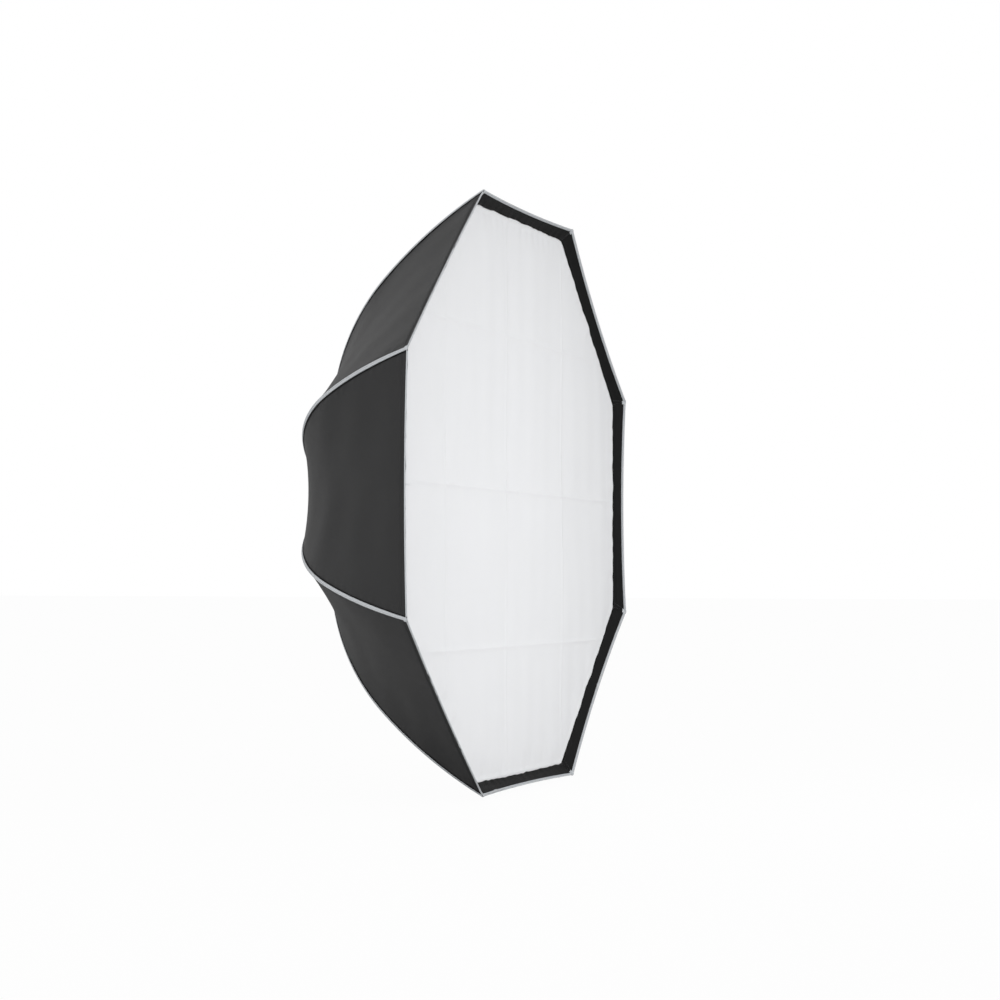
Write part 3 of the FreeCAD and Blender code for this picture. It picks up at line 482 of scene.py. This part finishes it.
def gore_relief(index, s, t, half_width):
    """Hem creases, puckers beside the seams and slack between them."""
    edge = 2 * half_width * np.minimum(t, 1 - t)
    inside = np.clip(edge / (25 * MM), 0, 1)
    pucker = np.exp(-((edge - 13 * MM) / (10 * MM)) ** 2)
    rough = 0.45 * MM * pucker * waves(s, t * 0.3, 24 * MM, 11 + index)
    slack = 0.9 * MM * inside * waves(s, t * half_width * 2, 190 * MM, 31 + index)
    fold_back = np.clip((s - HEM_START) / MM, 0, 1) * np.clip((HEM_END - s) / MM, 0, 1)
    hem = 0.9 * MM * fold_back * inside
    tucked = -0.7 * MM * np.exp(-((edge - 8.5 * MM) / (2.5 * MM)) ** 2)
    fold = 0.5 * MM * inside * np.exp(-s / (60 * MM)) * waves(t * 0.6, s * 0.2, 26 * MM, 51 + index)
    return rough + slack + hem + tucked + fold


def uneven_steps(total, fine, coarse, reach):
    """Steps from 0 to total that are fine near both ends and coarse between."""
    steps = [0.0]
    while steps[-1] < total:
        edge = min(steps[-1], total - steps[-1])
        steps.append(steps[-1] + fine + (coarse - fine) * min(1.0, max(0.0, edge) / reach))
    return np.array(steps) * total / steps[-1]


def build_gore(index):
    """One gore of dark cloth with its silver lining."""
    s = uneven_steps(SEAM_LENGTH, 1.0 * MM, 6 * MM, 120 * MM)[:, None]
    t = uneven_steps(1.0, 0.006, 0.022, 0.12)[None, :]
    points = canopy_points(index, s, t)
    width = 2 * seam(s)[0] * math.sin(HALF) * (t - 0.5)
    piece = grid_mesh(f"canopy_gore_{index + 1}", points, cloth_coords(width, s))
    paint(piece, CANOPY, SILVER)
    thicken(piece, 0.7 * MM, inner=1)
    follow_gore(piece, index)
    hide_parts(f"canopy_panel_{index + 1}")


def lip_points(index, distance, t, lift):
    """Points of the recessed lip at a distance inside the rim, raised towards the opening."""
    distance, t, lift = np.broadcast_arrays(np.asarray(distance, float), np.asarray(t, float), lift)
    inner = np.clip(distance / LIP_WIDTH, 0, 1) ** 2
    from_corner = 2 * CORNER * math.sin(HALF) * np.minimum(t, 1 - t)
    rounding = CORNER_CUT * np.clip(1 - from_corner / CORNER_REACH, 0, 1) ** 2
    distance = distance + rounding * inner
    radius = CORNER - distance * math.sin(LIP_HEADING)
    depth = distance * math.cos(LIP_HEADING)
    out = np.array([-math.cos(LIP_HEADING), -math.sin(LIP_HEADING) * math.cos(HALF)])
    out = out / np.linalg.norm(out)
    bow_in, bow_back = rim_bow(t, distance, 10.0)
    along = 2 * radius * math.sin(HALF) * (t - 0.5)
    taper = np.clip(share_of(t) * 6, 0, 1)
    wavy = 1.1 * MM * inner * taper * waves(along, 0 * along, 75 * MM, 71 + index)
    ripple = 0.7 * MM * taper * inner * waves(along, distance, 30 * MM, 91 + index)
    flat = radius * math.cos(HALF) + out[0] * (lift + ripple) + bow_in + wavy
    y = RIM_Y + depth + out[1] * (lift + ripple) + bow_back
    return place(AZIMUTHS[index] + HALF, flat, y, along)


def build_lip(index):
    """Black band that runs back inside the rim, with a folded hem on its inner edge."""
    t = uneven_steps(1.0, 0.006, 0.01, 0.1)[:, None]
    distance, lift = section([(1, 0.5), (6, 0.5), (20, 0.45), (30, 0.5), (30.6, 1.1), (36, 1.25),
                              (37.6, 1.0), (38.2, 0.3), (37.6, -0.35), (30, -0.5), (20, -0.5),
                              (6, -0.5), (1, -0.5)])
    points = lip_points(index, distance, t, lift)
    along = 2 * (CORNER - distance) * math.sin(HALF) * (t - 0.5)
    coords = cloth_coords(along, distance)
    piece = grid_mesh(f"lip_band_{index + 1}", points, coords, wrap=True, caps=True)
    sew(piece, LIP_CLOTH, index)
    build_dart(index)


DART_START = 2 * MM
DART_END = 37.8 * MM
DART_NEAR_SHARE = 0.0012
DART_FAR_SHARE = 0.006
DART_FLARE = 0.7
DART_CROWN = 1.3 * MM
DART_EDGE = 0.45 * MM
DART_GROOVE = 0.55 * MM


def dart_share(distance, across):
    """Share of the gore across a corner's dart: narrow at the rim and wider inwards."""
    far = DART_FAR_SHARE + DART_FLARE * (distance - DART_START)
    return DART_NEAR_SHARE + (far - DART_NEAR_SHARE) * (across + 1) / 2


def build_dart(index):
    """Folded dart of the lip beside its corner, with a seam line on each side."""
    steps = np.linspace(DART_START, DART_END, 24)
    distance = np.concatenate([steps, steps[::-1]])[None, :]
    under = np.repeat([0, 0.6 * MM], len(steps))[None, :]
    across = np.linspace(-1, 1, 17)[:, None]
    flatness = np.abs(across) ** 6
    groove = np.exp(-((np.abs(across) - 0.62) / 0.1) ** 2)
    height = DART_CROWN * (1 - flatness) + DART_EDGE * flatness - DART_GROOVE * groove - under
    points = lip_points(index, distance, dart_share(distance, across), height)
    coords = cloth_coords(across * 8 * MM, distance)
    sew(grid_mesh(f"lip_dart_{index + 1}", points, coords, wrap=True, caps=True), LIP_CLOTH, index)
    rows = [lambda d, h, a=a: lip_points(index, d, dart_share(d, a), h + 1.2 * MM)
            for a in (-0.86, 0.86)]
    thread = stitch_rows(f"dart_stitches_{index + 1}", rows, 3 * MM, 37.5 * MM, 0.3 * MM)
    sew(thread, DART_THREAD, index)


# ---------------------------------------------------------------- tapes and stitches

STITCH = 3.4 * MM
STITCH_PITCH = 4.6 * MM
CORNER_NOSE = 1.8 * MM
RIM_LENGTH = 2 * CORNER * math.sin(HALF)


def rib_points(azimuth, s, side, lift):
    """Points over a rib's seam: sideways along both gores and raised from them."""
    radius, depth, heading = seam(s)
    soft = np.sqrt(side ** 2 + (1.2 * MM) ** 2) - 1.2 * MM
    share = np.abs(side) / (2 * radius * math.sin(HALF))
    raised = lift - soft * math.tan(HALF) * np.cos(heading) - sag_depth(s, share)
    r = radius + np.cos(heading) * raised
    y = RIM_Y + depth + np.sin(heading) * raised
    return place(azimuth, r, y, side)


def tape_spread(s):
    """Share of its full width that a rib's tape has at a distance from the rim."""
    return 0.8 + 0.2 * np.clip(s / (120 * MM), 0, 1)


def build_rib_seam(index):
    """Light grosgrain tape over one rib's seam, folded onto one gore, with its stitches."""
    azimuth = AZIMUTHS[index]
    fold = 1 if math.sin(azimuth) > 0 else -1
    gore = index if fold > 0 else (index - 1) % RIBS
    s = np.linspace(0, SEAM_LENGTH, 190)[:, None]
    shapes = {
        # Dark strip under the tape and past its free edge: partly seam cloth, partly painted shade cast
        # by the tape.
        "seam_base_and_shade": (SEAM_CLOTH_AND_SHADE, [(-4.6, 0.1), (-3.9, 0.6), (0, 0.9), (4, 0.75), (6.9, 0.9),
                                   (8.6, 0.75), (9.0, 0.1), (4, -0.5), (0, -0.6), (-4, -0.5)]),
        "seam_tape": (TAPE, [(-2.7, 0.5), (-2.9, 1.2), (-2.0, 1.9), (0, 2.4), (1.2, 2.1),
                             (1.9, 1.65), (2.6, 2.0), (4.4, 2.05), (5.8, 1.95), (6.3, 1.6),
                             (6.4, 1.0), (3.4, 0.6)]),
    }
    for kind, (material, outline) in shapes.items():
        side, lift = section(outline[::fold])
        side = side * tape_spread(s) * fold
        points = rib_points(azimuth, s, side, lift)
        coords = cloth_coords(s, side)
        piece = grid_mesh(f"{kind}_{index + 1}", points, coords, wrap=True, caps=True)
        sew(piece, material, gore)
    rows = [lambda d, lift, w=w * fold * MM: rib_points(azimuth, d, w * tape_spread(d), 1.85 * MM + lift)
            for w in (1.9, 5.6)]
    thread = stitch_rows(f"seam_stitches_{index + 1}", rows, 8 * MM, SEAM_LENGTH - 4 * MM, 0.25 * MM)
    sew(thread, GREY_THREAD, gore)
    build_corner_fold(index)


def build_corner_fold(index):
    """End of the rib's tape, folded over the rim's corner onto the lip."""
    azimuth = AZIMUTHS[index]
    along = np.linspace(-11, 9, 41)[:, None] * MM
    side = np.linspace(-5, 5, 21)[None, :] * MM
    edge = np.clip(5.4 * MM - np.abs(side), 0, MM) / MM
    outer = rib_points(azimuth, np.maximum(along, 0), side, 2.5 * MM * np.sqrt(edge))
    distance = np.maximum(-along, 0)
    drop = np.abs(side) * math.tan(HALF)
    inside = 1.6 * MM * np.sqrt(edge)
    r = CORNER - distance * math.sin(LIP_HEADING) - inside * math.cos(LIP_HEADING) - drop
    y = RIM_Y + distance * math.cos(LIP_HEADING) - inside * math.sin(LIP_HEADING)
    inner = place(azimuth, r, y, side)
    nose = CORNER + RIM_OUT[0] * CORNER_NOSE - drop
    front = place(azimuth, nose, RIM_Y + RIM_OUT[1] * CORNER_NOSE, side)
    share = np.clip(0.5 + along / (4 * MM), 0, 1)[..., None]
    points = inner * (1 - share) + outer * share
    bulge = (4 * share * (1 - share)) ** 0.7
    points = points * (1 - bulge) + front * bulge
    piece = grid_mesh(f"corner_fold_{index + 1}", points, cloth_coords(along, side))
    paint(piece, TAPE)
    thicken(piece, 0.6 * MM)
    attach(piece, f"rib_{index + 1}")


def stitch_rows(name, rows, start, stop, thread):
    """Lock stitches along several rows; a row maps distance and height to a point."""
    count = int((stop - start) / STITCH_PITCH)
    first = start + STITCH_PITCH * np.arange(count)
    steps = np.array([0, 0.2, 0.8, 1.0])
    arch = np.array([-0.4, 0.8, 0.8, -0.4]) * thread
    points, faces, coords = [], [], []
    for row in rows:
        for begin in first:
            d = begin + steps * STITCH
            centre = row(d, arch)
            above = row(d, arch + thread)
            up = above - centre
            along = np.gradient(centre, axis=0)
            across = np.cross(along, up)
            across *= thread / np.linalg.norm(across, axis=1, keepdims=True)
            ring = np.stack([centre + up, centre + across, centre - up, centre - across], axis=1)
            base = len(points)
            points.extend(ring.reshape(-1, 3))
            coords.extend((x, q * thread) for x in d for q in range(4))
            for i in range(3):
                for j in range(4):
                    k = (j + 1) % 4
                    faces.append((base + 4 * i + j, base + 4 * i + k,
                                  base + 4 * i + 4 + k, base + 4 * i + 4 + j))
            faces.append((base + 3, base + 2, base + 1, base))
            faces.append(tuple(base + 12 + j for j in range(4)))
    return make_object(name, np.array(points), faces, np.array(coords))


def rim_points(index, offset, t, lift):
    """Points over the rim: negative offset lies on the lip and positive on the canopy."""
    offset, t, lift = np.broadcast_arrays(offset, t, lift)
    outer = canopy_points(index, np.maximum(offset, 0), t, lift, detail=False)
    inner = lip_points(index, np.maximum(-offset, 0), t, lift)
    edge = canopy_points(index, 0 * offset, t, detail=False)
    out = place(AZIMUTHS[index] + HALF, RIM_OUT[0], RIM_OUT[1])
    front = edge + out * lift[..., None]
    pick = offset[..., None]
    return np.where(pick > 0, outer, np.where(pick < 0, inner, front))


def build_rim_tape(index):
    """Light tape bound over the rim between two corners, with its stitches."""
    t = uneven_steps(1.0, 0.006, 0.012, 0.1)[:, None]
    offset, lift = section([(3.0, 0.1), (3.2, 0.7), (2.6, 1.2), (1.2, 1.4), (0, 1.2), (-1.0, 1.5),
                            (-1.8, 1.5), (-2.6, 0.9), (-3.3, 1.5), (-5.4, 1.4), (-6.1, 1.0),
                            (-6.1, 0.1), (-2.6, 0.1)])
    points = rim_points(index, offset, t, lift)
    coords = cloth_coords(RIM_LENGTH * (t - 0.5), offset)
    sew(grid_mesh(f"rim_tape_{index + 1}", points, coords, wrap=True, caps=True), TAPE, index)
    rows = [lambda d, h, o=o: rim_points(index, o * MM, d / RIM_LENGTH, 1.3 * MM + h)
            for o in (-2.6, -5.4)]
    thread = stitch_rows(f"rim_stitches_{index + 1}", rows, 5 * MM, RIM_LENGTH - 5 * MM, 0.3 * MM)
    sew(thread, GREY_THREAD, index)
    hem = [lambda d, h, s=s: canopy_points(index, s * MM, d / RIM_LENGTH, h + 0.2 * MM)
           for s in (15.5, 21.5)]
    thread = stitch_rows(f"hem_stitches_{index + 1}", hem, 12 * MM, RIM_LENGTH - 12 * MM, 0.25 * MM)
    sew(thread, THREAD, index)


# ---------------------------------------------------------------- front diffuser and baffle

CLOTH_THICKNESS = 0.4 * MM
DIFFUSER_CORNER = CORNER - (LIP_WIDTH - 3 * MM) * math.sin(LIP_HEADING)
FLAT_REACH = 60 * MM
PACKING_CREASES = ((-0.083, 0), (-0.44, 0), (0.28, 0), (0.01, 1), (-0.36, 1), (0.38, 1))


def diffuser_height(x, z):
    """Forward bulge of the diffuser's cloth: packing creases, slack streaks and edge puckers."""
    azimuth = np.arctan2(z, x)
    local = (azimuth - AZIMUTHS[0]) % GORE_ANGLE - HALF
    flat = np.hypot(x, z) * np.cos(local)
    edge = DIFFUSER_CORNER * math.cos(HALF) - flat
    along = np.hypot(x, z) * np.sin(local)
    loose = np.clip(edge / FLAT_REACH, 0, 1)
    streak = 1.1 * MM * loose * waves(x, z * 0.15, 80 * MM, 201, 10)
    slack = 2.4 * MM * loose * waves(x, z * 0.6, 330 * MM, 211)
    side = np.round((azimuth - AZIMUTHS[0] - HALF) / GORE_ANGLE)
    from_corner = np.clip((flat * math.tan(HALF) - np.abs(along)) / FLAT_REACH, 0, 1)
    pucker = from_corner * np.exp(-((edge - 22 * MM) / (26 * MM)) ** 2)
    pucker = 1.5 * MM * pucker * waves(along, side * 0.31 + edge * 0.2, 48 * MM, 221)
    creases = 0
    for centre, level in PACKING_CREASES:
        across = (z if level else x) - centre
        creases = creases + 2.1 * MM * np.exp(-np.abs(across) / (5 * MM)) * loose
    roll = 1.6 * MM * np.exp(-((edge - 8 * MM) / (5 * MM)) ** 2)
    return streak + slack + pucker + creases + roll


def half_sector_grid(second, rows, columns):
    """Radius share and share across for half of an octagon's sector, from the centre outwards."""
    q = np.linspace(0, 1, rows) ** 0.85
    q[-6:] = 1 - np.linspace(1 - q[-6], 0, 6)
    t = np.linspace(0, 0.5, columns) + 0.5 * second
    return q[1:, None], t[None, :]


def build_half_sector(kind, index, second, corner, front, height, material, rows, columns):
    """Half of an octagonal cloth's sector: a closed piece between one rib and the edge's middle."""
    q, t = half_sector_grid(second, rows, columns)
    flat = q * corner * math.cos(HALF)
    side = flat * math.tan(HALF) * (2 * t - 1)
    points = place(AZIMUTHS[index] + HALF, flat, front, side)
    sheet = np.concatenate([[[0, front, 0]], points.reshape(-1, 3)])
    sheet[:, 1] -= height(sheet[:, 0], sheet[:, 2])
    rings, count = points.shape[:2]
    faces = [(0, 1 + j, 2 + j) for j in range(count - 1)]
    for i in range(rings - 1):
        for j in range(count - 1):
            a = 1 + i * count + j
            faces.append((a, a + count, a + count + 1, a + 1))
    first = 1 + (rings - 1) * count
    edge = [0] + [1 + i * count for i in range(rings)] + [first + j for j in range(1, count)]
    edge += [count + i * count for i in range(rings - 1)][::-1]
    total = len(sheet)
    back = [tuple(v + total for v in face[::-1]) for face in faces]
    walls = [(b, a, a + total, b + total) for a, b in zip(edge, edge[1:] + edge[:1])]
    verts = np.concatenate([sheet, sheet + np.array([0, CLOTH_THICKNESS, 0])])
    rib = (index + second) % RIBS
    name = f"{kind}_cloth_{index + 1}_rib_{rib + 1}"
    piece = make_object(name, verts, faces + back + walls, verts[:, [0, 2]])
    smooth_normals(piece, height, len(faces))
    paint(piece, material)
    follow_corner(piece, kind, index, rib)
    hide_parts(f"{kind}_sector_{index + 1}")


def smooth_normals(piece, height, count):
    """Normals from the cloth's own slope, so that neighbouring sectors shade as one sheet."""
    mesh = piece.data
    x, _, z = vertex_places(mesh).T
    step = 1.5 * MM
    slope_x = (height(x + step, z) - height(x - step, z)) / (2 * step)
    slope_z = (height(x, z + step) - height(x, z - step)) / (2 * step)
    normals = np.stack([-slope_x, -np.ones_like(x), -slope_z], axis=1)
    normals /= np.linalg.norm(normals, axis=1, keepdims=True)
    side = np.zeros(len(mesh.polygons))
    side[:count] = 1
    side[count:2 * count] = -1
    mesh.polygons.foreach_set("use_smooth", side != 0)
    sizes = np.zeros(len(mesh.polygons), np.int32)
    mesh.polygons.foreach_get("loop_total", sizes)
    turned = normals[loop_vertices(mesh)] * np.repeat(side, sizes)[:, None]
    mesh.normals_split_custom_set([tuple(n) for n in turned])


def corner_body(kind, rib, sector=None):
    """The body that carries a cloth's corner at a rib, counted from zero like the sector."""
    holder = {"diffuser": "diffuser_tab", "baffle": "baffle_strap"}[kind]
    own = rib if sector is None else sector + 1
    return f"{holder}_{rib + 1}" if rib % 2 == 0 else f"{kind}_sector_{own}"


def follow_corner(piece, kind, sector, rib):
    """Move half a sector with its corner's body, on a mesh of its own."""
    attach(piece, corner_body(kind, rib, sector))
    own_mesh(piece)


def baffle_height(x, z):
    """Slack of the inner baffle."""
    return 2.5 * MM * waves(x, z, 260 * MM, 301) + 0.6 * MM * waves(x, z, 70 * MM, 311)


def build_cloths():
    """The front diffuser and the inner baffle, sector by sector."""
    for index in range(RIBS):
        for second in (0, 1):
            build_half_sector("diffuser", index, second, DIFFUSER_CORNER, DIFFUSER_Y + 1.0 * MM,
                              diffuser_height, DIFFUSER, 120, 56)
            build_half_sector("baffle", index, second, BAFFLE_CORNER, BAFFLE_Y, baffle_height,
                              BAFFLE, 40, 21)


TAB_RADII = (0.692, 0.717)
STRAP_RADII = (0.545, 0.614)
TAB_Y = DIFFUSER_Y + 4.5 * MM


def webbing_strip(name, azimuth, start, stop, y):
    """A short sewn strip of webbing in the plane of a rib."""
    r = np.linspace(start, stop, 24)[:, None]
    side, lift = section([(-8.5, -0.65), (-8.5, 0.39), (-6.8, 0.65), (0, 0.715), (6.8, 0.65),
                          (8.5, 0.39), (8.5, -0.65), (6.8, -0.78), (0, -0.78), (-6.8, -0.78)])
    bow = 1.5 * MM * np.sin(math.pi * (r - start) / (stop - start))
    points = place(azimuth, r, y - lift + bow, side)
    return paint(grid_mesh(name, points, cloth_coords(r, side), wrap=True, caps=True), WEBBING)


def build_corner_tabs():
    """Pull tabs behind the diffuser's corners and straps from the baffle to the ribs."""
    for rib, azimuth in enumerate(AZIMUTHS):
        tab = webbing_strip(f"diffuser_pull_tab_{rib + 1}", azimuth, *TAB_RADII, TAB_Y)
        strap = webbing_strip(f"baffle_corner_strap_{rib + 1}", azimuth, *STRAP_RADII, BAFFLE_Y)
        for piece, kind, node_name in ((tab, "diffuser", f"diffuser_tab_{rib + 1}"),
                                       (strap, "baffle", f"baffle_strap_{rib + 1}")):
            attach(piece, corner_body(kind, rib))
            if rib % 2 == 0:
                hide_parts(node_name)


# ---------------------------------------------------------------- collar and springs

COLLAR_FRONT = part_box("canopy_collar")[0].y
COLLAR_RADIUS = 0.106
GATHERS = 96
SKIRT_TUCK = 8 * MM
SKIRT_UNDER = 1.0 * MM
SKIRT_THICKNESS = 0.5 * MM
SKIRT_ROOT_RADIUS = 105 * MM
SKIRT_ROOT_SETBACK = 0.8 * MM
SPRING_LOW = 84.25 * MM
SPRING_HIGH = 95.75 * MM
SPRING_RADIUS = 4.9 * MM
SPRING_WIRE = 0.52 * MM
SPRING_TURNS = 4


def build_collar():
    """Gathered elastic collar between the canopy's rear edge and the housing."""
    radius, depth = section([(101.3, 0.3), (103, -0.3), (106, -0.6), (108.5, -0.2), (110, 1.5),
                             (110.6, 4.5), (110.2, 7.8), (109, 9.2), (105, 9.4), (101.3, 9.3)])
    angle = np.linspace(0, 2 * math.pi, 480, endpoint=False)[:, None]
    body = np.clip((radius - 103 * MM) / (6 * MM), 0, 1)
    radius = radius + 0.8 * MM * body * np.sin(angle * GATHERS)
    radius = radius + 0.3 * MM * body * np.sin(angle * 37)
    y = COLLAR_FRONT + depth + 0.4 * MM * body * np.sin(angle * GATHERS / 2 + 1)
    points = np.stack([radius * np.cos(angle), y, radius * np.sin(angle)], axis=-1)
    coords = cloth_coords(angle * COLLAR_RADIUS, depth)
    rows, columns = points.shape[:2]
    faces = [(i * columns + j, i * columns + (j + 1) % columns,
              ((i + 1) % rows) * columns + (j + 1) % columns, ((i + 1) % rows) * columns + j)
             for i in range(rows) for j in range(columns)]
    piece = make_object("rear_collar", points.reshape(-1, 3), faces, coords.reshape(-1, 2))
    paint(piece, ELASTIC)
    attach(piece, "root")
    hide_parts("canopy_collar")


def skirt_points(index, row, turn, inset):
    """Points round one rib: row 0 on the collar, 1 at the gores' rear edge and 2 tucked under them."""
    t = 0.5 * (1 + np.tan(np.abs(turn) - HALF) / math.tan(HALF))  # share of the gore there
    s = SEAM_LENGTH - SKIRT_TUCK * np.clip(row - 1, 0, 1)
    ahead = canopy_points(index, s, t, -inset, detail=False)
    behind = canopy_points((index - 1) % RIBS, s, 1 - t, -inset, detail=False)
    edge = np.where((turn < 0)[..., None], behind, ahead)
    angle = AZIMUTHS[index] + turn
    y = COLLAR_FRONT + SKIRT_ROOT_SETBACK - inset
    root = np.stack([SKIRT_ROOT_RADIUS * np.cos(angle), y, SKIRT_ROOT_RADIUS * np.sin(angle)], axis=-1)
    share = np.clip(row, 0, 1)[..., None]
    gathers = 0.35 * MM * np.sin(GATHERS * angle) * np.clip(1 - np.abs(2 * row - 1), 0, 1)
    points = root * (1 - share) + edge * share
    points[..., 1] += gathers
    return points


def build_collar_skirt(index):
    """Stretch cloth at one rib that closes the gap behind the gores."""
    steps = np.linspace(0, 2, 21)
    row = np.concatenate([steps, steps[::-1]])[None, :]
    inset = np.repeat([SKIRT_UNDER, SKIRT_UNDER + SKIRT_THICKNESS], len(steps))[None, :]
    turn = np.linspace(-HALF, HALF, 121)[:, None]
    row, inset, turn = np.broadcast_arrays(row, inset, turn)
    points = skirt_points(index, row, turn, inset)
    coords = np.stack([turn * SKIRT_ROOT_RADIUS, row * SKIRT_TUCK], axis=-1)
    piece = grid_mesh(f"collar_skirt_{index + 1}", points, coords, wrap=True, caps=True)
    paint(piece, ELASTIC)
    stretch(piece)


def build_button_spring(number):
    """Coil spring under a release button, with closed end turns."""
    low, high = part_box(f"release_button_{number}")
    middle = (low + high) / 2
    outward = math.copysign(1, middle.x)
    turns = np.linspace(0, SPRING_TURNS + 2, 290)[:, None]
    free = np.clip((turns - 1) / SPRING_TURNS, 0, 1)
    closed = 2.1 * SPRING_WIRE
    ends = closed * (np.minimum(turns, 1) + np.maximum(turns - 1 - SPRING_TURNS, 0))
    reach = SPRING_HIGH - SPRING_LOW - 2 * SPRING_WIRE - 2 * closed
    along = SPRING_LOW + SPRING_WIRE + ends + reach * free
    around = np.linspace(2 * math.pi, 0, 12, endpoint=False)[None, :]
    radius = SPRING_RADIUS + SPRING_WIRE * np.cos(around)
    angle = 2 * math.pi * turns
    x = outward * (along + SPRING_WIRE * np.sin(around))
    z = outward * radius * np.cos(angle)
    points = np.stack([x, middle.y + radius * np.sin(angle), z], axis=-1)
    piece = grid_mesh(f"button_spring_{number}", points, wrap=True, caps=True)
    paint(piece, PIN_STEEL)
    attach(piece, "root")
    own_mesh(piece)
    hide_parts("button_springs")


def dress_frame():
    """Give the listed CAD parts of the frame their own finishes."""
    finishes = {
        "bayonet_ring": BAYONET_METAL,
        "speedring_housing": HUB_PLASTIC,
        "rib_hinge_ring": HUB_METAL,
        "rib_hinge_pins": PIN_STEEL,
        "guide_rods": PIN_STEEL,
        "front_stop_ring": HUB_PLASTIC,
        "ring_screws": PIN_STEEL,
        "runner_ring": HUB_PLASTIC,
        "release_button_1": BUTTON,
        "release_button_2": BUTTON,
    }
    for index in range(1, RIBS + 1):
        finishes[f"rib_{index}"] = ROD_STEEL
        finishes[f"strut_{index}"] = STRUT_STEEL
    for name, material in finishes.items():
        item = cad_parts[name]
        item.data.materials.clear()
        item.data.materials.append(material)


# ---------------------------------------------------------------- stage

CAMERA_PLACE = Vector((-4.5641, RIM_Y - 1.8388, -0.2090))
CAMERA_FORWARD = Vector((0.92108, 0.38724, 0.04064))
CAMERA_UP = Vector((-0.03787, -0.01477, 0.99917))
CAMERA_LENS = 73.46
SENSOR_WIDTH = 36
LIGHT_BELOW = 0.46
LIGHT_ABOVE = 0.79
FLOOR_GAP = 12 * MM
FLOOR_REACH = 60.0
FLOOR_GLOW_SHARE = 0.97


def build_camera():
    """Camera a little below the middle, looking at the box from its left front."""
    camera = bpy.data.cameras.new("camera")
    camera.lens = CAMERA_LENS
    camera.sensor_width = SENSOR_WIDTH
    camera.clip_end = 200
    item = add_object("camera", camera)
    back = -CAMERA_FORWARD.normalized()
    right = CAMERA_UP.cross(back).normalized()
    up = back.cross(right)
    turn = Matrix((right, up, back)).transposed().to_4x4()
    item.matrix_world = Matrix.Translation(CAMERA_PLACE) @ turn
    bpy.context.scene.camera = item


def build_world():
    """Even pale studio: white to the camera and brighter from above for the light."""
    world = bpy.data.worlds.new("studio")
    bpy.context.scene.world = world
    world.use_nodes = True
    tree = world.node_tree
    background = tree.nodes["Background"]
    coords = node(tree, "TexCoord")
    split = node(tree, "SeparateXYZ")
    tree.links.new(coords.outputs["Generated"], split.inputs[0])
    level = node(tree, "MapRange", {"From Min": -1, "To Min": LIGHT_BELOW, "To Max": LIGHT_ABOVE})
    tree.links.new(split.outputs["Z"], level.inputs["Value"])
    rays = node(tree, "LightPath")
    mix = node(tree, "Mix")
    tree.links.new(rays.outputs["Is Camera Ray"], mix.inputs["Factor"])
    tree.links.new(level.outputs["Result"], mix.inputs["A"])
    mix.inputs["B"].default_value = 1.0
    tree.links.new(mix.outputs["Result"], background.inputs["Strength"])
    background.inputs["Color"].default_value = (1, 1, 1, 1)


def area_light(name, place_at, target, size, power):
    """A soft square light aimed at a point."""
    light = bpy.data.lights.new(name, "AREA")
    light.size = size
    light.energy = power
    item = add_object(name, light)
    item.location = place_at
    item.rotation_euler = (Vector(target) - Vector(place_at)).to_track_quat("-Z", "Y").to_euler()
    item.visible_camera = False


def build_floor():
    """Pale floor just under the box that fades into the background and is clear from below."""
    level = CAD_LOW.z - FLOOR_GAP
    corners = [(FLOOR_REACH * x, FLOOR_REACH * y, level) for x, y in ((-1, -1), (1, -1), (1, 1), (-1, 1))]
    floor = make_object("floor", corners, [(0, 1, 2, 3)])
    material, tree, shader = new_material("floor_pale", (0.5, 0.5, 0.5), 0.9)
    seen = node(tree, "LightPath").outputs["Is Camera Ray"]
    share = math_node(tree, "MULTIPLY", seen, FLOOR_GLOW_SHARE)
    white = node(tree, "Emission", {"Strength": 1.0})
    top = mix_shaders(tree, share, shader.outputs[0], white.outputs[0])
    below = node(tree, "NewGeometry").outputs["Backfacing"]
    surface = mix_shaders(tree, below, top, node(tree, "BsdfTransparent").outputs[0])
    tree.links.new(surface, tree.nodes["Material Output"].inputs["Surface"])
    paint(floor, material)


for number in range(RIBS):
    build_gore(number)
    build_lip(number)
    build_rib_seam(number)
    build_rim_tape(number)
build_cloths()
build_corner_tabs()
build_collar()
for number in range(RIBS):
    build_collar_skirt(number)
build_button_spring(1)
build_button_spring(2)
dress_frame()
build_camera()
build_world()
build_floor()
area_light("key", (-3.0, -4.5, 2.5), target=(0, 0, 0), size=3.0, power=40)
area_light("front", (-0.1, -2.24, -0.03), target=(-0.1, -0.55, -0.03), size=1.0, power=15.5)
area_light("side", (-4.5, 1.2, 0.3), target=(-0.5, -0.3, 0), size=1.5, power=90)
bpy.context.scene.view_settings.view_transform = "Standard"
